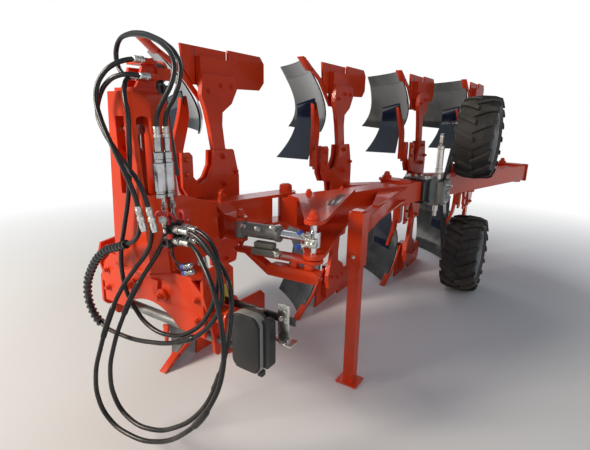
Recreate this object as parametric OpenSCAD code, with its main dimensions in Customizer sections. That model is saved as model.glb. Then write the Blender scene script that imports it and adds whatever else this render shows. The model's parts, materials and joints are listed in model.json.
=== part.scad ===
// Four-furrow mounted reversible mouldboard plough with a variable-width beam, parked on its lower bodies.
// X points to the unploughed side of the lower bodies, Y rearwards, Z up, from the floor under the hitch axis.

/* [Row of bodies] */
// Height of the beam's middle plane, about which the upper bodies mirror the lower ones
mid_z = 910; // [900:1:930]
// Angle of the beam to the direction of travel
row_angle = 17; // [16:0.5:18]
// Distance between the bodies along the beam
spacing = 1020; // [1000:5:1030]
// Side place of the first share's tip
tip_x = -190; // [-195:1:-185]
// Rearward place of the first share's tip
tip_y = 90; // [85:1:100]

/* [Beam] */
// Side of the square beam tube
beam_s = 150; // [140:1:160]
// Side place of the main pivot
pivot_x = 180; // [175:1:185]
// Rearward place of the main pivot
pivot_y = 845; // [840:1:850]
// Distance from the line of pivots to the beam's axis
beam_offset = 140; // [135:1:150]
// Length of the beam behind the last body's pivot
beam_tail = 100; // [90:5:140]
// Length of the beam ahead of the main pivot
beam_front = 90; // [80:1:100]
// Thickness of the end plate
end_t = 12; // [10:1:16]
// Thickness of the pivot lugs above and below the beam
lug_t = 18; // [14:1:22]
// Radius of the pivot lugs
lug_r = 62; // [58:1:66]
// Radius of the vertical pivot pins
pivot_pin_r = 20; // [18:1:24]
// Radius of the pivot bosses
boss_r = 48; // [44:1:50]

/* [Headstock] */
// Width of the tower at its top
tower_w = 250; // [244:1:256]
// Lean of each side of the tower
tower_taper = 4.5; // [3:0.5:6]
// Depth of the tower
tower_d = 150; // [144:1:156]
// Width of each folded corner of the tower
tower_fold = 58; // [52:1:62]
// Plate thickness of the tower
tower_t = 12; // [8:1:14]
// Height of the tower's top
tower_top = 1545; // [1535:1:1555]
// Height of the shelf on which the tower stands
shelf_z = 745; // [740:1:750]
// Radius of the tower's top corners
tower_round = 70; // [60:1:80]
// Height of the lower hitch axis
hitch_z = 450; // [445:1:455]
// Distance between the two lower hitch points
hitch_span = 825; // [815:1:835]
// Radius of the lower hitch pins
hitch_pin_r = 18.3; // [18:0.1:18.5]
// Radius of the cross shaft between the cheeks
shaft_r = 25; // [23:1:27]
// Free width between the plates of a lower hitch fork
fork_gap = 60; // [56:1:64]
// Thickness of the hitch plates
cheek_t = 16; // [12:1:18]
// Height of the top link pin
top_pin_z = 1390; // [1385:1:1395]
// Radius of the top link pin
top_pin_r = 15.9; // [15.5:0.1:16]
// Pitch of the top link holes
top_hole_pitch = 79; // [75:1:82]
// Width of the opening for the top link
top_slot_w = 58; // [54:1:62]

/* [Turnover] */
// Radius of the turnover shaft
turn_r = 60; // [56:1:64]
// Radius of the bearing housing
house_r = 98; // [92:1:104]
// Rear face of the bearing housing
house_y1 = 250; // [246:1:252]
// Front face of the bearing housing
house_y0 = 116; // [114:1:120]
// Radius of the turnover crank
crank_r = 110; // [104:1:114]
// Thickness of the crank
crank_t = 28; // [24:1:30]
// Rearward place of the turnover cylinder
ram_y = 50; // [48:1:52]
// Height of the turnover cylinder's upper pin
ram_z = 1640; // [1635:1:1645]
// Radius of the turnover cylinder's barrel
ram_r = 36; // [34:1:37]
// Radius of the turnover cylinder's rod
ram_rod_r = 20; // [18:1:22]
// Radius of the turnover cylinder's pins
ram_pin_r = 18; // [16:1:19]

/* [Front furrow cylinder] */
// Side place of its pin on the turning frame
width_x = 300; // [295:1:305]
// Rearward place of its pin on the turning frame
width_y = 268; // [265:1:272]
// Side place of its pin on the beam's lever
lever_x = 690; // [685:1:695]
// Rearward place of its pin on the beam's lever
lever_y = 320; // [315:1:325]
// Radius of its barrel
width_r = 36; // [34:1:38]
// Radius of its rod
width_rod_r = 20; // [18:1:22]

/* [Bodies] */
// Rear end of the landside from the tip
land_len = 945; // [930:1:960]
// Height of the landside plates
land_h = 206; // [200:1:212]
// Thickness of the landside plates
land_t = 14; // [10:1:15]
// Side place of the landside's outer face from the tip
land_x = 46; // [44:1:48]
// Height of the mouldboard
mould_h = 400; // [390:1:410]
// Length of the mouldboard
mould_len = 720; // [700:1:740]
// Thickness of the mouldboard
mould_t = 9; // [7:1:11]
// Side place of the leg's inner face from the tip
leg_x = 85; // [83:1:87]
// Thickness of the leg
leg_t = 30; // [26:1:34]
// Thickness of each plate of the leg bracket
plate_t = 18; // [14:1:20]

/* [Wheels] */
// Diameter of the depth wheels
tyre_d = 660; // [650:2:670]
// Width of the depth wheels
tyre_w = 290; // [280:2:300]
// Side place of the wheels
wheel_x = 1020; // [1015:1:1025]
// Rearward place of the wheels
wheel_y = 2400; // [2395:1:2405]
// Height of the upper wheel's axle
upper_wheel_z = 1310; // [1305:1:1315]
// Radius of the rims
rim_r = 200; // [195:1:205]
// Radius of the axles
axle_r = 28; // [25:1:30]

/* [Parking stand] */
// Side place of the parking stand
stand_x = 770; // [765:1:775]
// Rearward place of the parking stand
stand_y = 640; // [635:1:645]
// Side of the stand's sliding tube
stand_s = 60; // [56:1:64]
// How far the stand slides up
stand_travel = 300; // [280:5:320]

/* [Hidden] */
gap = 0.3;
run = 0.08;
eps = 0.01;
groove = 2;
pairs = 4;

// Routes of the hoses, from fitting to fitting
hose_top_front_route = [[180, -108, 1360], [180, -108, 1400], [274, -80, 1624], [250, -66, 1674], [90, -20, 1758],
    [-150, 22, 1795], [-193, 24, 1784], [-224, 24, 1667], [-150, 24, 1625], [-95, 24, 1625]];
hose_top_rear_route = [[180, -62, 1360], [180, -62, 1405], [258, -44, 1580], [215, -16, 1692], [-60, 36, 1802],
    [-235, 58, 1795], [-269, 60, 1762], [-269, 60, 1670], [-190, 60, 1625], [-95, 60, 1625]];
hose_bundle_route = [[86, -76, 1668], [86, -108, 1668], [-8, -204, 1602], [-28, -228, 1500], [145, -242, 1215],
    [172, -218, 1020], [130, -212, 945], [-95, -225, 845], [-190, -238, 745], [-228, -248, 640], [-205, -252, 540],
    [-130, -252, 482], [0, -250, 468], [370, -222, 540], [505, -198, 630], [560, -170, 740], [540, -145, 840],
    [465, -128, 935], [340, -118, 985], [300, -118, 985]];
hose_loop_front_route = [[116, -76, 1602], [116, -108, 1602], [100, -146, 1606], [-4, -188, 1575], [-62, -206, 1455],
    [172, -210, 1190], [212, -194, 1025], [146, -178, 875], [42, -250, 700], [0, -385, 330], [34, -402, 220],
    [110, -405, 158], [370, -380, 160], [530, -352, 265], [625, -312, 400], [652, -268, 530], [622, -232, 680],
    [460, -160, 890], [340, -118, 935], [300, -118, 935]];
hose_loop_rear_route = [[194, -108, 1000], [194, -108, 965], [80, -210, 690], [46, -345, 330], [92, -362, 235],
    [190, -366, 178], [320, -355, 178], [545, -300, 320], [605, -262, 440], [622, -218, 570], [570, -120, 780],
    [345, -74, 935], [300, -74, 935]];
hose_return_route = [[52, -84, 1602], [52, -106, 1602], [72, -164, 1554], [90, -178, 1508], [100, -182, 1370],
    [-14, -192, 860], [8, -202, 675], [148, -206, 545], [288, -202, 534], [430, -194, 600], [500, -172, 690],
    [517, -142, 785], [500, -112, 875], [345, -74, 985], [300, -74, 985]];

red = [0.86, 0.16, 0.08];
zinc = [0.72, 0.73, 0.74];
blue_steel = [0.10, 0.13, 0.26];
black = [0.08, 0.08, 0.09];
cast_grey = [0.42, 0.43, 0.44];

row = [sin(row_angle), cos(row_angle)];
side = [cos(row_angle), -sin(row_angle)];
pivot = [pivot_x, pivot_y];
lever = [lever_x, lever_y];
width_a = [width_x, width_y];
stand = [stand_x, stand_y];
// A point in the beam's frame: s along the row from the main pivot, t to the side of the beam
function at(s, t) = pivot + s * row + t * side;
function tip(i) = [tip_x, tip_y] + i * spacing * row;
// The pivot in a body's own frame, whose origin is the share's tip
pivot_local = pivot - [tip_x, tip_y];
beam_top = mid_z + beam_s / 2;
beam_low = mid_z - beam_s / 2;
beam_far = beam_offset + beam_s / 2;
beam_back = (pairs - 1) * spacing + beam_tail;
half_span = hitch_span / 2;
cheek_in = half_span - fork_gap / 2 - cheek_t;
cheek_out = half_span + fork_gap / 2;
tan_taper = tan(tower_taper);
function tower_half(z) = tower_w / 2 + (tower_top - z) * tan_taper;
fold_k = sqrt(2) - 1;

// Plate in the YZ plane from x0 on, its outline given as [y, z]
module plate_x(x0, t) translate([x0, 0, 0]) rotate([90, 0, 90]) linear_extrude(t) children();
// Plate in the XZ plane from y0 on, its outline given as [x, z]
module plate_y(y0, t) translate([0, y0 + t, 0]) rotate([90, 0, 0]) linear_extrude(t) children();
// Plate in the XY plane from z0 on
module plate_z(z0, t) translate([0, 0, z0]) linear_extrude(t) children();
module rod_x(x0, l, r) translate([x0, 0, 0]) rotate([0, 90, 0]) cylinder(h = l, r = r, $fn = 64);
module rod_y(y0, l, r) translate([0, y0, 0]) rotate([-90, 0, 0]) cylinder(h = l, r = r, $fn = 64);
module rod_z(p, z0, l, r) translate([p[0], p[1], z0]) cylinder(h = l, r = r, $fn = 64);
// Outline of two circles and their common tangents
module link_2d(a, b, r1, r2) {
    l = norm(b - a);
    u = (b - a) / l;
    n = [-u[1], u[0]];
    c = (r1 - r2) / l;
    s = sqrt(1 - c * c);
    translate(a) circle(r1, $fn = 64);
    translate(b) circle(r2, $fn = 64);
    polygon([a + r1 * (c * u + s * n), b + r2 * (c * u + s * n), b + r2 * (c * u - s * n), a + r1 * (c * u - s * n)]);
}
module round_rect_2d(x0, y0, w, h, r) {
    translate([x0 + r, y0]) square([w - 2 * r, h]);
    translate([x0, y0 + r]) square([w, h - 2 * r]);
    for (x = [x0 + r, x0 + w - r]) for (y = [y0 + r, y0 + h - r]) translate([x, y]) circle(r, $fn = 48);
}
// In row_frame, X runs rearwards along the beam and -Y to its open side
module row_frame() translate([pivot_x, pivot_y, 0]) rotate([0, 0, 90 - row_angle]) children();
module both() {
    children();
    translate([0, 0, 2 * mid_z]) mirror([0, 0, 1]) children();
}
module left_right() {
    children();
    mirror([1, 0, 0]) children();
}
module body_frame(i) translate([tip(i)[0], tip(i)[1], 0]) children();

// Headstock
// The frame of the tower's right side: X across the wall, Z along its slope, from the tower's top
module side_frame() translate([tower_w / 2, 0, tower_top]) rotate([0, -tower_taper, 0]) children();
// Distance down the slope to a height
function slope_z(z) = -(tower_top - z) / cos(tower_taper);
tower_low = shelf_z + tower_t + gap;
module tower_front_2d(g) {
    r = tower_round - g;
    w = tower_w / 2 + g * tan_taper - g / cos(tower_taper);
    top = tower_top - g;
    low = g > 0 ? tower_low - 1 : tower_low;
    t = r / tan((90 + tower_taper) / 2);
    bend = [w + t * sin(tower_taper), top - t * cos(tower_taper)];
    foot = w + (top - low) * tan_taper;
    polygon([[-foot, low], [foot, low], bend, [w - t, top], [t - w, top], [-bend[0], bend[1]]]);
    for (s = [-1, 1]) translate([s * (w - t), top - r]) circle(r, $fn = 64);
}
module tower_side(g) side_frame() translate([0, 0, -1000]) linear_extrude(1100)
    polygon([[-g, g > 0 ? 5 : 0], [-g, -tower_d + tower_fold + g * fold_k], [-tower_fold - g * fold_k, -tower_d + g],
        [-700, -tower_d + g], [-700, g > 0 ? 5 : 0]]);
module tower_form(g) intersection() {
    plate_y(-tower_d - 5, tower_d + 10) tower_front_2d(g);
    tower_side(g);
    mirror([1, 0, 0]) tower_side(g);
}
link_plate_t = 16;
top_pin_y = 38 - tower_d;
recess_low = top_pin_z - 3 * top_hole_pitch - 40;
recess_h = 3 * top_hole_pitch + 95;
module tower() color(red) difference() {
    union() {
        difference() {
            tower_form(0);
            tower_form(tower_t);
        }
        left_right() translate([top_slot_w / 2, 1 - tower_d, recess_low - 30]) cube([link_plate_t, 82, recess_h + 60]);
    }
    translate([-top_slot_w / 2, -tower_d - 1, recess_low]) cube([top_slot_w, tower_t + 2, recess_h]);
    left_right() plate_x(top_slot_w / 2 + link_plate_t + 4, 200)
        round_rect_2d(tower_t + 2 - tower_d, recess_low, 40, recess_h, 19);
    for (k = [0:3]) translate([0, top_pin_y, top_pin_z - k * top_hole_pitch]) rod_x(-60, 120, top_pin_r + run);
}

top_pin_end = top_slot_w / 2 + link_plate_t;
module top_link_pin() color(zinc) translate([0, top_pin_y, top_pin_z]) {
    difference() {
        rod_x(-top_pin_end - 14, 2 * top_pin_end + 40, top_pin_r);
        for (s = [-1, 1]) translate([s * (top_slot_w / 2 - groove / 2) - groove / 2, 0, 0]) difference() {
            rod_x(0, groove, top_pin_r + 1);
            rod_x(-1, groove + 2, top_pin_r - 1.5);
        }
    }
    rod_x(top_pin_end + 26, 12, 24);
    translate([top_pin_end + 32, 0, -82]) cylinder(h = 66, r = 6.5, $fn = 24);
    translate([top_pin_end + 32, 0, -82]) rotate([0, 90, 0]) cylinder(h = 22, r = 6.5, center = true, $fn = 24);
}

// Yoke on the tower's top for the turnover cylinder's eye, with the hose bars in front of it
ear_t = 16;
ear_gap = 44;
ear_r = 46;
yoke_w = 62;
yoke_h = 50;
yoke_y0 = ram_y - ear_gap / 2 - ear_t;
yoke_z = ram_z - 40;
bar_t = 16;
bar_z = [ram_z - 46, ram_z + 20];
bar_y = -40;
module ram_ears() color(red) {
    plate_z(tower_top + gap, bar_t) translate([-yoke_w, -118]) square([2 * yoke_w, 118 + yoke_y0 - 4]);
    for (y = [yoke_y0, yoke_y0 + ear_t + ear_gap]) plate_y(y, ear_t) {
        translate([-yoke_w, yoke_z]) square([2 * yoke_w, yoke_h]);
        translate([0, ram_z]) circle(ear_r, $fn = 64);
    }
    left_right() translate([ear_r, yoke_y0, yoke_z]) cube([yoke_w - ear_r, ear_gap + 2 * ear_t, yoke_h]);
    translate([0, 0, ram_z]) rod_y(yoke_y0 - 4, ear_gap + 2 * ear_t + 8, ram_pin_r);
    left_right() plate_x(36, ear_t) polygon([[-100, tower_top + 8], [yoke_y0 - 4, tower_top + 8], [yoke_y0 + 1, yoke_z],
        [yoke_y0 + 1, ram_z + 8], [-56, ram_z + 8], [-70, yoke_z]]);
    for (k = [0, 1]) {
        plate_z(bar_z[k], bar_t) translate([-52, -56]) square([116, 56 + yoke_y0 + 1]);
        translate([0, bar_y, bar_z[k] + bar_t / 2]) rod_x(60, 68 - 30 * k, 12);
        translate([116 - 30 * k, 0, bar_z[k] + bar_t / 2]) rod_y(-76, 76 + bar_y, 11);
    }
    translate([52, 0, bar_z[0] + bar_t / 2]) rod_y(-84, 32, 11);
    for (y = [24, 60]) translate([0, y, yoke_z + yoke_h / 2]) rod_x(-95, 35, 12);
}

wing_t = 16;
wing_top = 1100;
wing_low = 770;
wing_y1 = house_y1 - 28;
module turnover_housing() color(red) difference() {
    union() {
        translate([0, 0, mid_z]) rod_y(house_y0, house_y1 - house_y0, house_r);
        plate_y(wing_y1 - 26, 26) {
            a = tower_half(mid_z + 120) + (wing_t + gap) / cos(tower_taper);
            b = tower_half(mid_z - 110) + (wing_t + gap) / cos(tower_taper);
            polygon([[-a, mid_z + 120], [a, mid_z + 120], [b, mid_z - 110], [-b, mid_z - 110]]);
        }
        left_right() side_frame() plate_x(gap, wing_t)
            polygon([[-80, slope_z(wing_low)], [20, slope_z(wing_low)], [wing_y1, slope_z(mid_z - 110)],
                [wing_y1, slope_z(mid_z + 120)], [20, slope_z(wing_top)], [-80, slope_z(wing_top)]]);
    }
    translate([0, 0, mid_z]) rod_y(house_y0 - 1, house_y1 - house_y0 + 2, turn_r + run);
}

// Lower hitch frame
web_y = -75;
web_t = 14;
web_back = 58;
arch_z = 300;
arch_r = 270;
module hitch_web() {
    difference() {
        plate_y(web_y, web_t) polygon([[-cheek_in - 1, 480], [-cheek_in - 1, 690], [-300, shelf_z + 1], [300, shelf_z + 1],
            [cheek_in + 1, 690], [cheek_in + 1, 480]]);
        translate([0, 0, arch_z]) rod_y(web_y - 1, web_t + 2, arch_r);
    }
    plate_z(shelf_z, tower_t) polygon([[-300, web_y], [-tower_half(shelf_z), web_y], [-130, -tower_d], [130, -tower_d],
        [tower_half(shelf_z), web_y], [300, web_y], [cheek_in + 1, web_y + 60], [cheek_in + 1, web_back],
        [-cheek_in - 1, web_back], [-cheek_in - 1, web_y + 60]]);
    plate_y(web_back - web_t, web_t) translate([-cheek_in - 1, 640]) square([2 * cheek_in + 2, shelf_z - 639]);
    left_right() plate_x(180, web_t) polygon([[web_y + web_t - 1, 600], [web_back - web_t + 1, 640],
        [web_back - web_t + 1, shelf_z + 1], [web_y + web_t - 1, shelf_z + 1]]);
    left_right() translate([0, 0, 630]) translate([110, 0, 0]) rod_y(web_y - 18, 19, 33);
    plate_y(web_y - web_t, web_t + 1) polygon([[30, 700], [90, 700], [68, 590], [52, 590]]);
}

module hitch_shaft() color(zinc) translate([0, 0, hitch_z]) {
    rod_x(-cheek_in + gap, 2 * cheek_in - 2 * gap, shaft_r);
    left_right() {
        difference() {
            rod_x(cheek_in - 1, cheek_out + cheek_t + 24 - cheek_in + 1, hitch_pin_r);
            for (x = [cheek_in + cheek_t, cheek_out - groove]) difference() {
                rod_x(x, groove, hitch_pin_r + 1);
                rod_x(x - 1, groove + 2, hitch_pin_r - 1.5);
            }
        }
        translate([cheek_out + cheek_t + 12, 0, -30]) cylinder(h = 64, r = 5, $fn = 24);
    }
}
lug_low_r = 45;
module cheek_2d() {
    polygon([[-86, 690], [-86, 750], [-70, 800], [60, 815], [110, 770], [110, 620], [60, 480], [27, 396], [-27, 396],
        [-30, 470]]);
    translate([0, 396]) circle(27, $fn = 48);
}
module hitch_frame() color(red) {
    hitch_web();
    difference() {
        left_right() {
            plate_x(cheek_in, cheek_t) cheek_2d();
            plate_x(cheek_out, cheek_t) link_2d([0, hitch_z], [0, 575], lug_low_r, 40);
            translate([cheek_in + cheek_t - 1, -40, 560]) cube([fork_gap + 2, 80, 44]);
        }
        translate([0, 0, hitch_z]) rod_x(-600, 1200, hitch_pin_r + run);
    }
}

// Check valves on the tower's right side, with hose ends above and pipes below
valve_top = 1305;
valve_low = 1105;
valve_x = 180;
valve_y = [-108, -62];
hose_end_z = 1360;
pipe_end_z = 1000;
module valve_block() color(zinc) {
    side_frame() translate([gap, -128, slope_z(valve_low)]) cube([56, 88, slope_z(valve_top) - slope_z(valve_low)]);
    for (y = valve_y) {
        rod_z([valve_x, y], valve_top - 10, hose_end_z - valve_top + 10, 13);
        rod_z([valve_x + 14, y], pipe_end_z, valve_low - pipe_end_z + 20, 9);
    }
}
rack_x = 236;
rack_low = 905;
rack_y = [-118, -74];
rack_z = [935, 985];
rack_end_x = 300;
module coupler_rack() color(black) {
    side_frame() translate([wing_t + 2 * gap, -94, slope_z(880)]) cube([8, 74, 90]);
    translate([196, -142, rack_low]) cube([rack_x - 195, 96, 8]);
    translate([rack_x, -142, rack_low]) cube([8, 96, 110]);
    for (y = rack_y) for (z = rack_z) translate([0, y, z]) {
        rod_x(rack_x - 30, rack_end_x - rack_x + 30, 14);
        rod_x(rack_x + 20, 16, 17);
    }
}
lamp_y = -64;
lamp_d = 62;
bar_back = 45;
module lamp_housing() color(black) {
    plate_y(lamp_y, lamp_d) round_rect_2d(520, 400, 150, 260, 44);
    plate_y(lamp_y + 20, lamp_d - 20) round_rect_2d(660, 430, 46, 220, 20);
}
module lamp_bracket() color(zinc) {
    translate([cheek_in + cheek_t + gap, bar_back, 610]) cube([430, 8, 36]);
    plate_y(bar_back - 8, 8) polygon([[712, 700], [770, 700], [770, 556], [812, 550], [812, 544], [712, 544]]);
    translate([560, lamp_y + lamp_d + gap, 612]) cube([60, bar_back - lamp_y - lamp_d, 30]);
}

// Hoses
hose_r = 10;
hose_sides = 8;
function unit(v) = v / norm(v);
// Direction of a route at its point i
function heading(p, i) = i == 0 ? unit(p[1] - p[0]) : i == len(p) - 1 ? unit(p[i] - p[i - 1])
    : unit(unit(p[i] - p[i - 1]) + unit(p[i + 1] - p[i]));
// Direction across the route, carried from its start to the point i without twist
function carried(p, i) = let(d = heading(p, i), v = i == 0 ? cross(d, [0.3, 0.5, 0.81]) : carried(p, i - 1))
    unit(v - (v * d) * d);
module hose(p) color(black) {
    n = len(p);
    m = hose_sides;
    rings = [for (i = [0:n - 1]) let(u = carried(p, i), w = cross(heading(p, i), u)) for (k = [0:m - 1])
        p[i] + hose_r * (cos(360 * k / m) * u + sin(360 * k / m) * w)];
    walls = [for (i = [0:n - 2]) for (k = [0:m - 1])
        let(a = i * m + k, b = a + m, d = i * m + (k + 1) % m, c = d + m) for (t = [[a, b, c], [a, c, d]]) t];
    polyhedron(rings, concat(walls, [[for (k = [0:m - 1]) k]], [[for (k = [m - 1:-1:0]) (n - 1) * m + k]]));
}

// Turnover cylinder
ram_angle =atan2(crank_r, ram_z - mid_z);
ram_len = norm([crank_r, ram_z - mid_z]);
ram_barrel_len = 470;
module along_ram() translate([0, ram_y, ram_z]) rotate([0, -ram_angle, 0]) mirror([0, 0, 1]) children();
module cross_rod(l, r) rotate([90, 0, 0]) cylinder(h = l, r = r, center = true, $fn = 64);
module turnover_barrel() color(black) along_ram() difference() {
    union() {
        translate([0, 0, 58]) cylinder(h = ram_barrel_len - 58, r = ram_r, $fn = 64);
        translate([0, 0, ram_barrel_len - 26]) cylinder(h = 26, r = ram_r + 3, $fn = 64);
        cross_rod(ear_gap - 2 * gap, 40);
        translate([-24, -21, 0]) cube([48, 42, 60]);
        translate([ram_r - 6, -14, 70]) cube([26, 28, 28]);
    }
    cross_rod(ear_gap + 2, ram_pin_r + run);
    translate([0, 0, 120]) cylinder(h = ram_barrel_len, r = ram_rod_r + run, $fn = 64);
}
module turnover_rod() color(zinc) along_ram() {
    translate([0, 0, 240]) cylinder(h = ram_len - 240 - 20, r = ram_rod_r, $fn = 64);
    translate([0, 0, ram_len]) cross_rod(36, 36);
    translate([0, 0, ram_len]) cross_rod(60, ram_pin_r);
}
crank_y = ram_y + 30 + gap;
module turnover_crank() color(red) {
    translate([0, 0, mid_z]) rod_y(crank_y, house_y1 + 2 - crank_y, turn_r);
    translate([0, 0, mid_z]) rod_y(house_y1 + 2, 8 - gap, 110);
    plate_y(crank_y, crank_t) link_2d([0, mid_z], [crank_r, mid_z], 74, 40);
}

// Turning frame
body_y0 = house_y1 + 10;
body_d = 96;
shelf_t = 24;
width_ear_z = 44;
width_pin_r = 16;
body_h = 190;
module cross_body() color(red) {
    plate_y(body_y0, body_d) polygon([[-120, mid_z - 75], [-100, mid_z - body_h / 2], [150, mid_z - body_h / 2],
        [200, mid_z - 60], [200, mid_z + 60], [150, mid_z + body_h / 2], [-100, mid_z + body_h / 2], [-120, mid_z + 75]]);
    for (z = [mid_z + width_ear_z, mid_z - width_ear_z - 16]) plate_z(z, 16) link_2d([180, 308], width_a, 44, 34);
    rod_z(width_a, mid_z - width_ear_z - 22, 2 * width_ear_z + 44, width_pin_r);
}
arm_a = [52, 400];
module arm_web_2d(g) link_2d(arm_a, pivot, 58 + g, 50 + g);
module front_arm() color(red) difference() {
    union() {
        for (z = [beam_top + gap, beam_low - gap - lug_t]) plate_z(z, lug_t) link_2d(arm_a, pivot, 66, lug_r);
        intersection() {
            plate_z(beam_low - gap, beam_s + 2 * gap) arm_web_2d(0);
            translate([-400, 0, 0]) cube([1200, pivot_y - 155, 2000]);
        }
        rod_z(pivot, beam_low - lug_t - 22, beam_s + 2 * lug_t + 44, pivot_pin_r);
        rod_z(pivot, beam_top + lug_t, 26, 40);
        rod_z(pivot, beam_low - lug_t - 26, 26, 40);
        plate_x(56, 20) difference() {
            link_2d([400, beam_top + 10], [400, beam_top + 52], 34, 28);
            translate([400, beam_top + 54]) circle(14, $fn = 48);
        }
    }
    translate([-400, 0, 0]) cube([1200, body_y0 + body_d + gap, 2000]);
}

// Beam
module beam() color(red) difference() {
    union() {
        row_frame() {
            translate([-beam_front, -beam_far, beam_low]) cube([beam_front + beam_back, beam_s, beam_s]);
            translate([beam_back, -beam_far - 14, beam_low - 14]) cube([end_t, beam_s + 28, beam_s + 28]);
        }
        plate_z(beam_low, beam_s) link_2d(pivot, at(60, beam_offset), boss_r, 60);
        for (i = [1:pairs - 1]) {
            for (z = [beam_top - eps, beam_low - lug_t + eps])
                plate_z(z, lug_t) link_2d(at(i * spacing, 0), at(i * spacing, beam_offset), lug_r, 72);
            rod_z(at(i * spacing, 0), beam_low - lug_t - 14, beam_s + 2 * lug_t + 28, pivot_pin_r);
            rod_z(at(i * spacing, 0), beam_top + lug_t - eps, 20, 36);
            rod_z(at(i * spacing, 0), beam_low - lug_t - 20 + eps, 20, 36);
        }
        for (z = [beam_top - eps, beam_low - lug_t + eps]) plate_z(z, lug_t) {
            polygon([at(-70, beam_offset - 30), at(-80, beam_far), lever + [-44, -4], lever + [30, -36], lever + [46, 30],
                at(420, beam_far - 10), at(380, beam_offset)]);
            translate(lever) circle(46, $fn = 64);
        }
    }
    rod_z(pivot, 0, 2000, pivot_pin_r + run);
}
sleeve_s = stand_s + 20;
sleeve_low = 700;
sleeve_h = 290;
module stand_arm() color(red) difference() {
    union() {
        plate_z(mid_z - 40, 80) polygon([at(880, beam_far + gap), at(790, beam_far + gap), stand + [-40, 20], stand + [40, 20]]);
        for (z = [mid_z - 52, mid_z + 40]) plate_z(z, 12) polygon([at(980, beam_far + gap), at(640, beam_far + gap),
            stand + [-60, 330], stand + [-30, 330]]);
        translate([stand_x - sleeve_s / 2, stand_y - sleeve_s / 2, sleeve_low]) cube([sleeve_s, sleeve_s, sleeve_h]);
    }
    translate([stand_x - stand_s / 2 - gap, stand_y - stand_s / 2 - gap, 0])
        cube([stand_s + 2 * gap, stand_s + 2 * gap, 2000]);
}
foot_t = 10;
module stand_leg() color(red) {
    translate([stand_x - stand_s / 2, stand_y - stand_s / 2, foot_t - 1]) cube([stand_s, stand_s, 990]);
    translate([stand_x - 62, stand_y - 55, 0]) cube([124, 110, foot_t]);
}

// Front furrow cylinder between the turning frame and the beam's lever
width_v = lever - width_a;
width_len = norm(width_v);
width_ang = atan2(width_v[1], width_v[0]);
width_barrel_len = 224;
width_bore = 38;
width_rod_start = 166;
module along_width() translate([width_x, width_y, mid_z]) rotate([0, 0, width_ang]) rotate([0, 90, 0]) children();
module width_barrel() color(cast_grey) difference() {
    union() {
        along_width() translate([0, 0, 24]) cylinder(h = width_barrel_len - 24, r = width_r, $fn = 64);
        along_width() translate([0, 0, width_barrel_len - 20]) cylinder(h = 20, r = width_r + 4, $fn = 64);
        rod_z(width_a, mid_z - width_ear_z + gap, 2 * width_ear_z - 2 * gap, 30);
    }
    rod_z(width_a, 0, 2000, width_pin_r + run);
    along_width() translate([0, 0, width_bore]) cylinder(h = width_barrel_len, r = width_rod_r + run, $fn = 64);
}
module width_rod() color(zinc) {
    along_width() translate([0, 0, width_rod_start])
        cylinder(h = width_len - width_rod_start - 20, r = width_rod_r, $fn = 64);
    rod_z(lever, mid_z - 36, 72, 34);
    rod_z(lever, beam_low + gap, beam_s - 2 * gap, width_pin_r);
}

// Plough bodies, each drawn as the lower one of its pair with its share's tip at the origin
land_in = land_x - land_t;
seam_y = 600;
module landside_shape() {
    plate_x(land_in, land_t) polygon([[250, 8], [seam_y - 4, 8], [seam_y - 4, land_h], [330, land_h], [266, 132]]);
    plate_x(land_x + gap, land_t) polygon([[seam_y + gap, 0], [land_len - 40, 0], [land_len, 40], [land_len, land_h - 50],
        [land_len - 50, land_h], [seam_y + gap, land_h + 6]]);
}
// Front edge of the mouldboard at a height share v, and its face back to the tail at u = 1
mould_back = [0.6 * mould_t, mould_t, 0];
function mould_at(u, v) = let(
    th = 38 + 12 * u - 6 * v,
    l = mould_len * (0.80 + 0.50 * v - 0.38 * v * v) * u)
    [land_in - gap - mould_back[0] - 110 * v * v * v - l * sin(th) - 110 * u * v * v,
        120 + 560 * v - 210 * v * v + l * cos(th) * (1 - 0.12 * v * u),
        76 + mould_h * v * (1 - 0.06 * u * u)];
// A plate of even thickness from a grid of points, row by row; its back lies off the face by the vector b
module sheet(face, nu, nv, b) {
    n = (nu + 1) * (nv + 1);
    quads = [for (j = [0:nv - 1]) for (i = [0:nu - 1]) let(a = j * (nu + 1) + i) [a, a + 1, a + nu + 2, a + nu + 1]];
    rim = concat([for (i = [0:nu - 1]) [i, i + 1]],
        [for (j = [0:nv - 1]) [j * (nu + 1) + nu, (j + 1) * (nu + 1) + nu]],
        [for (i = [nu:-1:1]) [nv * (nu + 1) + i, nv * (nu + 1) + i - 1]],
        [for (j = [nv:-1:1]) [j * (nu + 1), (j - 1) * (nu + 1)]]);
    polyhedron([for (p = face) p, for (p = face) p + b], concat(
        [for (q = quads) for (k = [[q[0], q[1], q[2]], [q[0], q[2], q[3]]]) k],
        [for (q = quads) for (k = [[q[0], q[2], q[1]], [q[0], q[3], q[2]]]) [k[0] + n, k[1] + n, k[2] + n]],
        [for (e = rim) for (k = [[e[1], e[0], e[1] + n], [e[0], e[0] + n, e[1] + n]]) k]));
}
mould_nu = 12;
mould_nv = 7;
module mouldboard_shape() sheet([for (j = [0:mould_nv]) for (i = [0:mould_nu]) mould_at(i / mould_nu, j / mould_nv)],
    mould_nu, mould_nv, mould_back);
// The blade runs from the cutting edge up to the mouldboard's lower edge
function blade_at(u, v) = mould_at(u, 0) + [8, -92, -74] * (1 - v) - [0, 0, gap] * v;
module share_shape() {
    sheet([for (j = [0:1]) for (i = [0:6]) blade_at(i / 6, j)], 6, 1, [6, 11, 0]);
    plate_x(land_in - 36, land_t + 36) polygon([[0, 2], [10, 0], [60, 20], [128, 58], [112, 78]]);
    plate_x(land_in, land_t) polygon([[100, 60], [128, 58], [238, 112], [256, 132], [324, 206], [400, 283], [372, 292],
        [212, 130], [112, 78]]);
}
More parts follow.
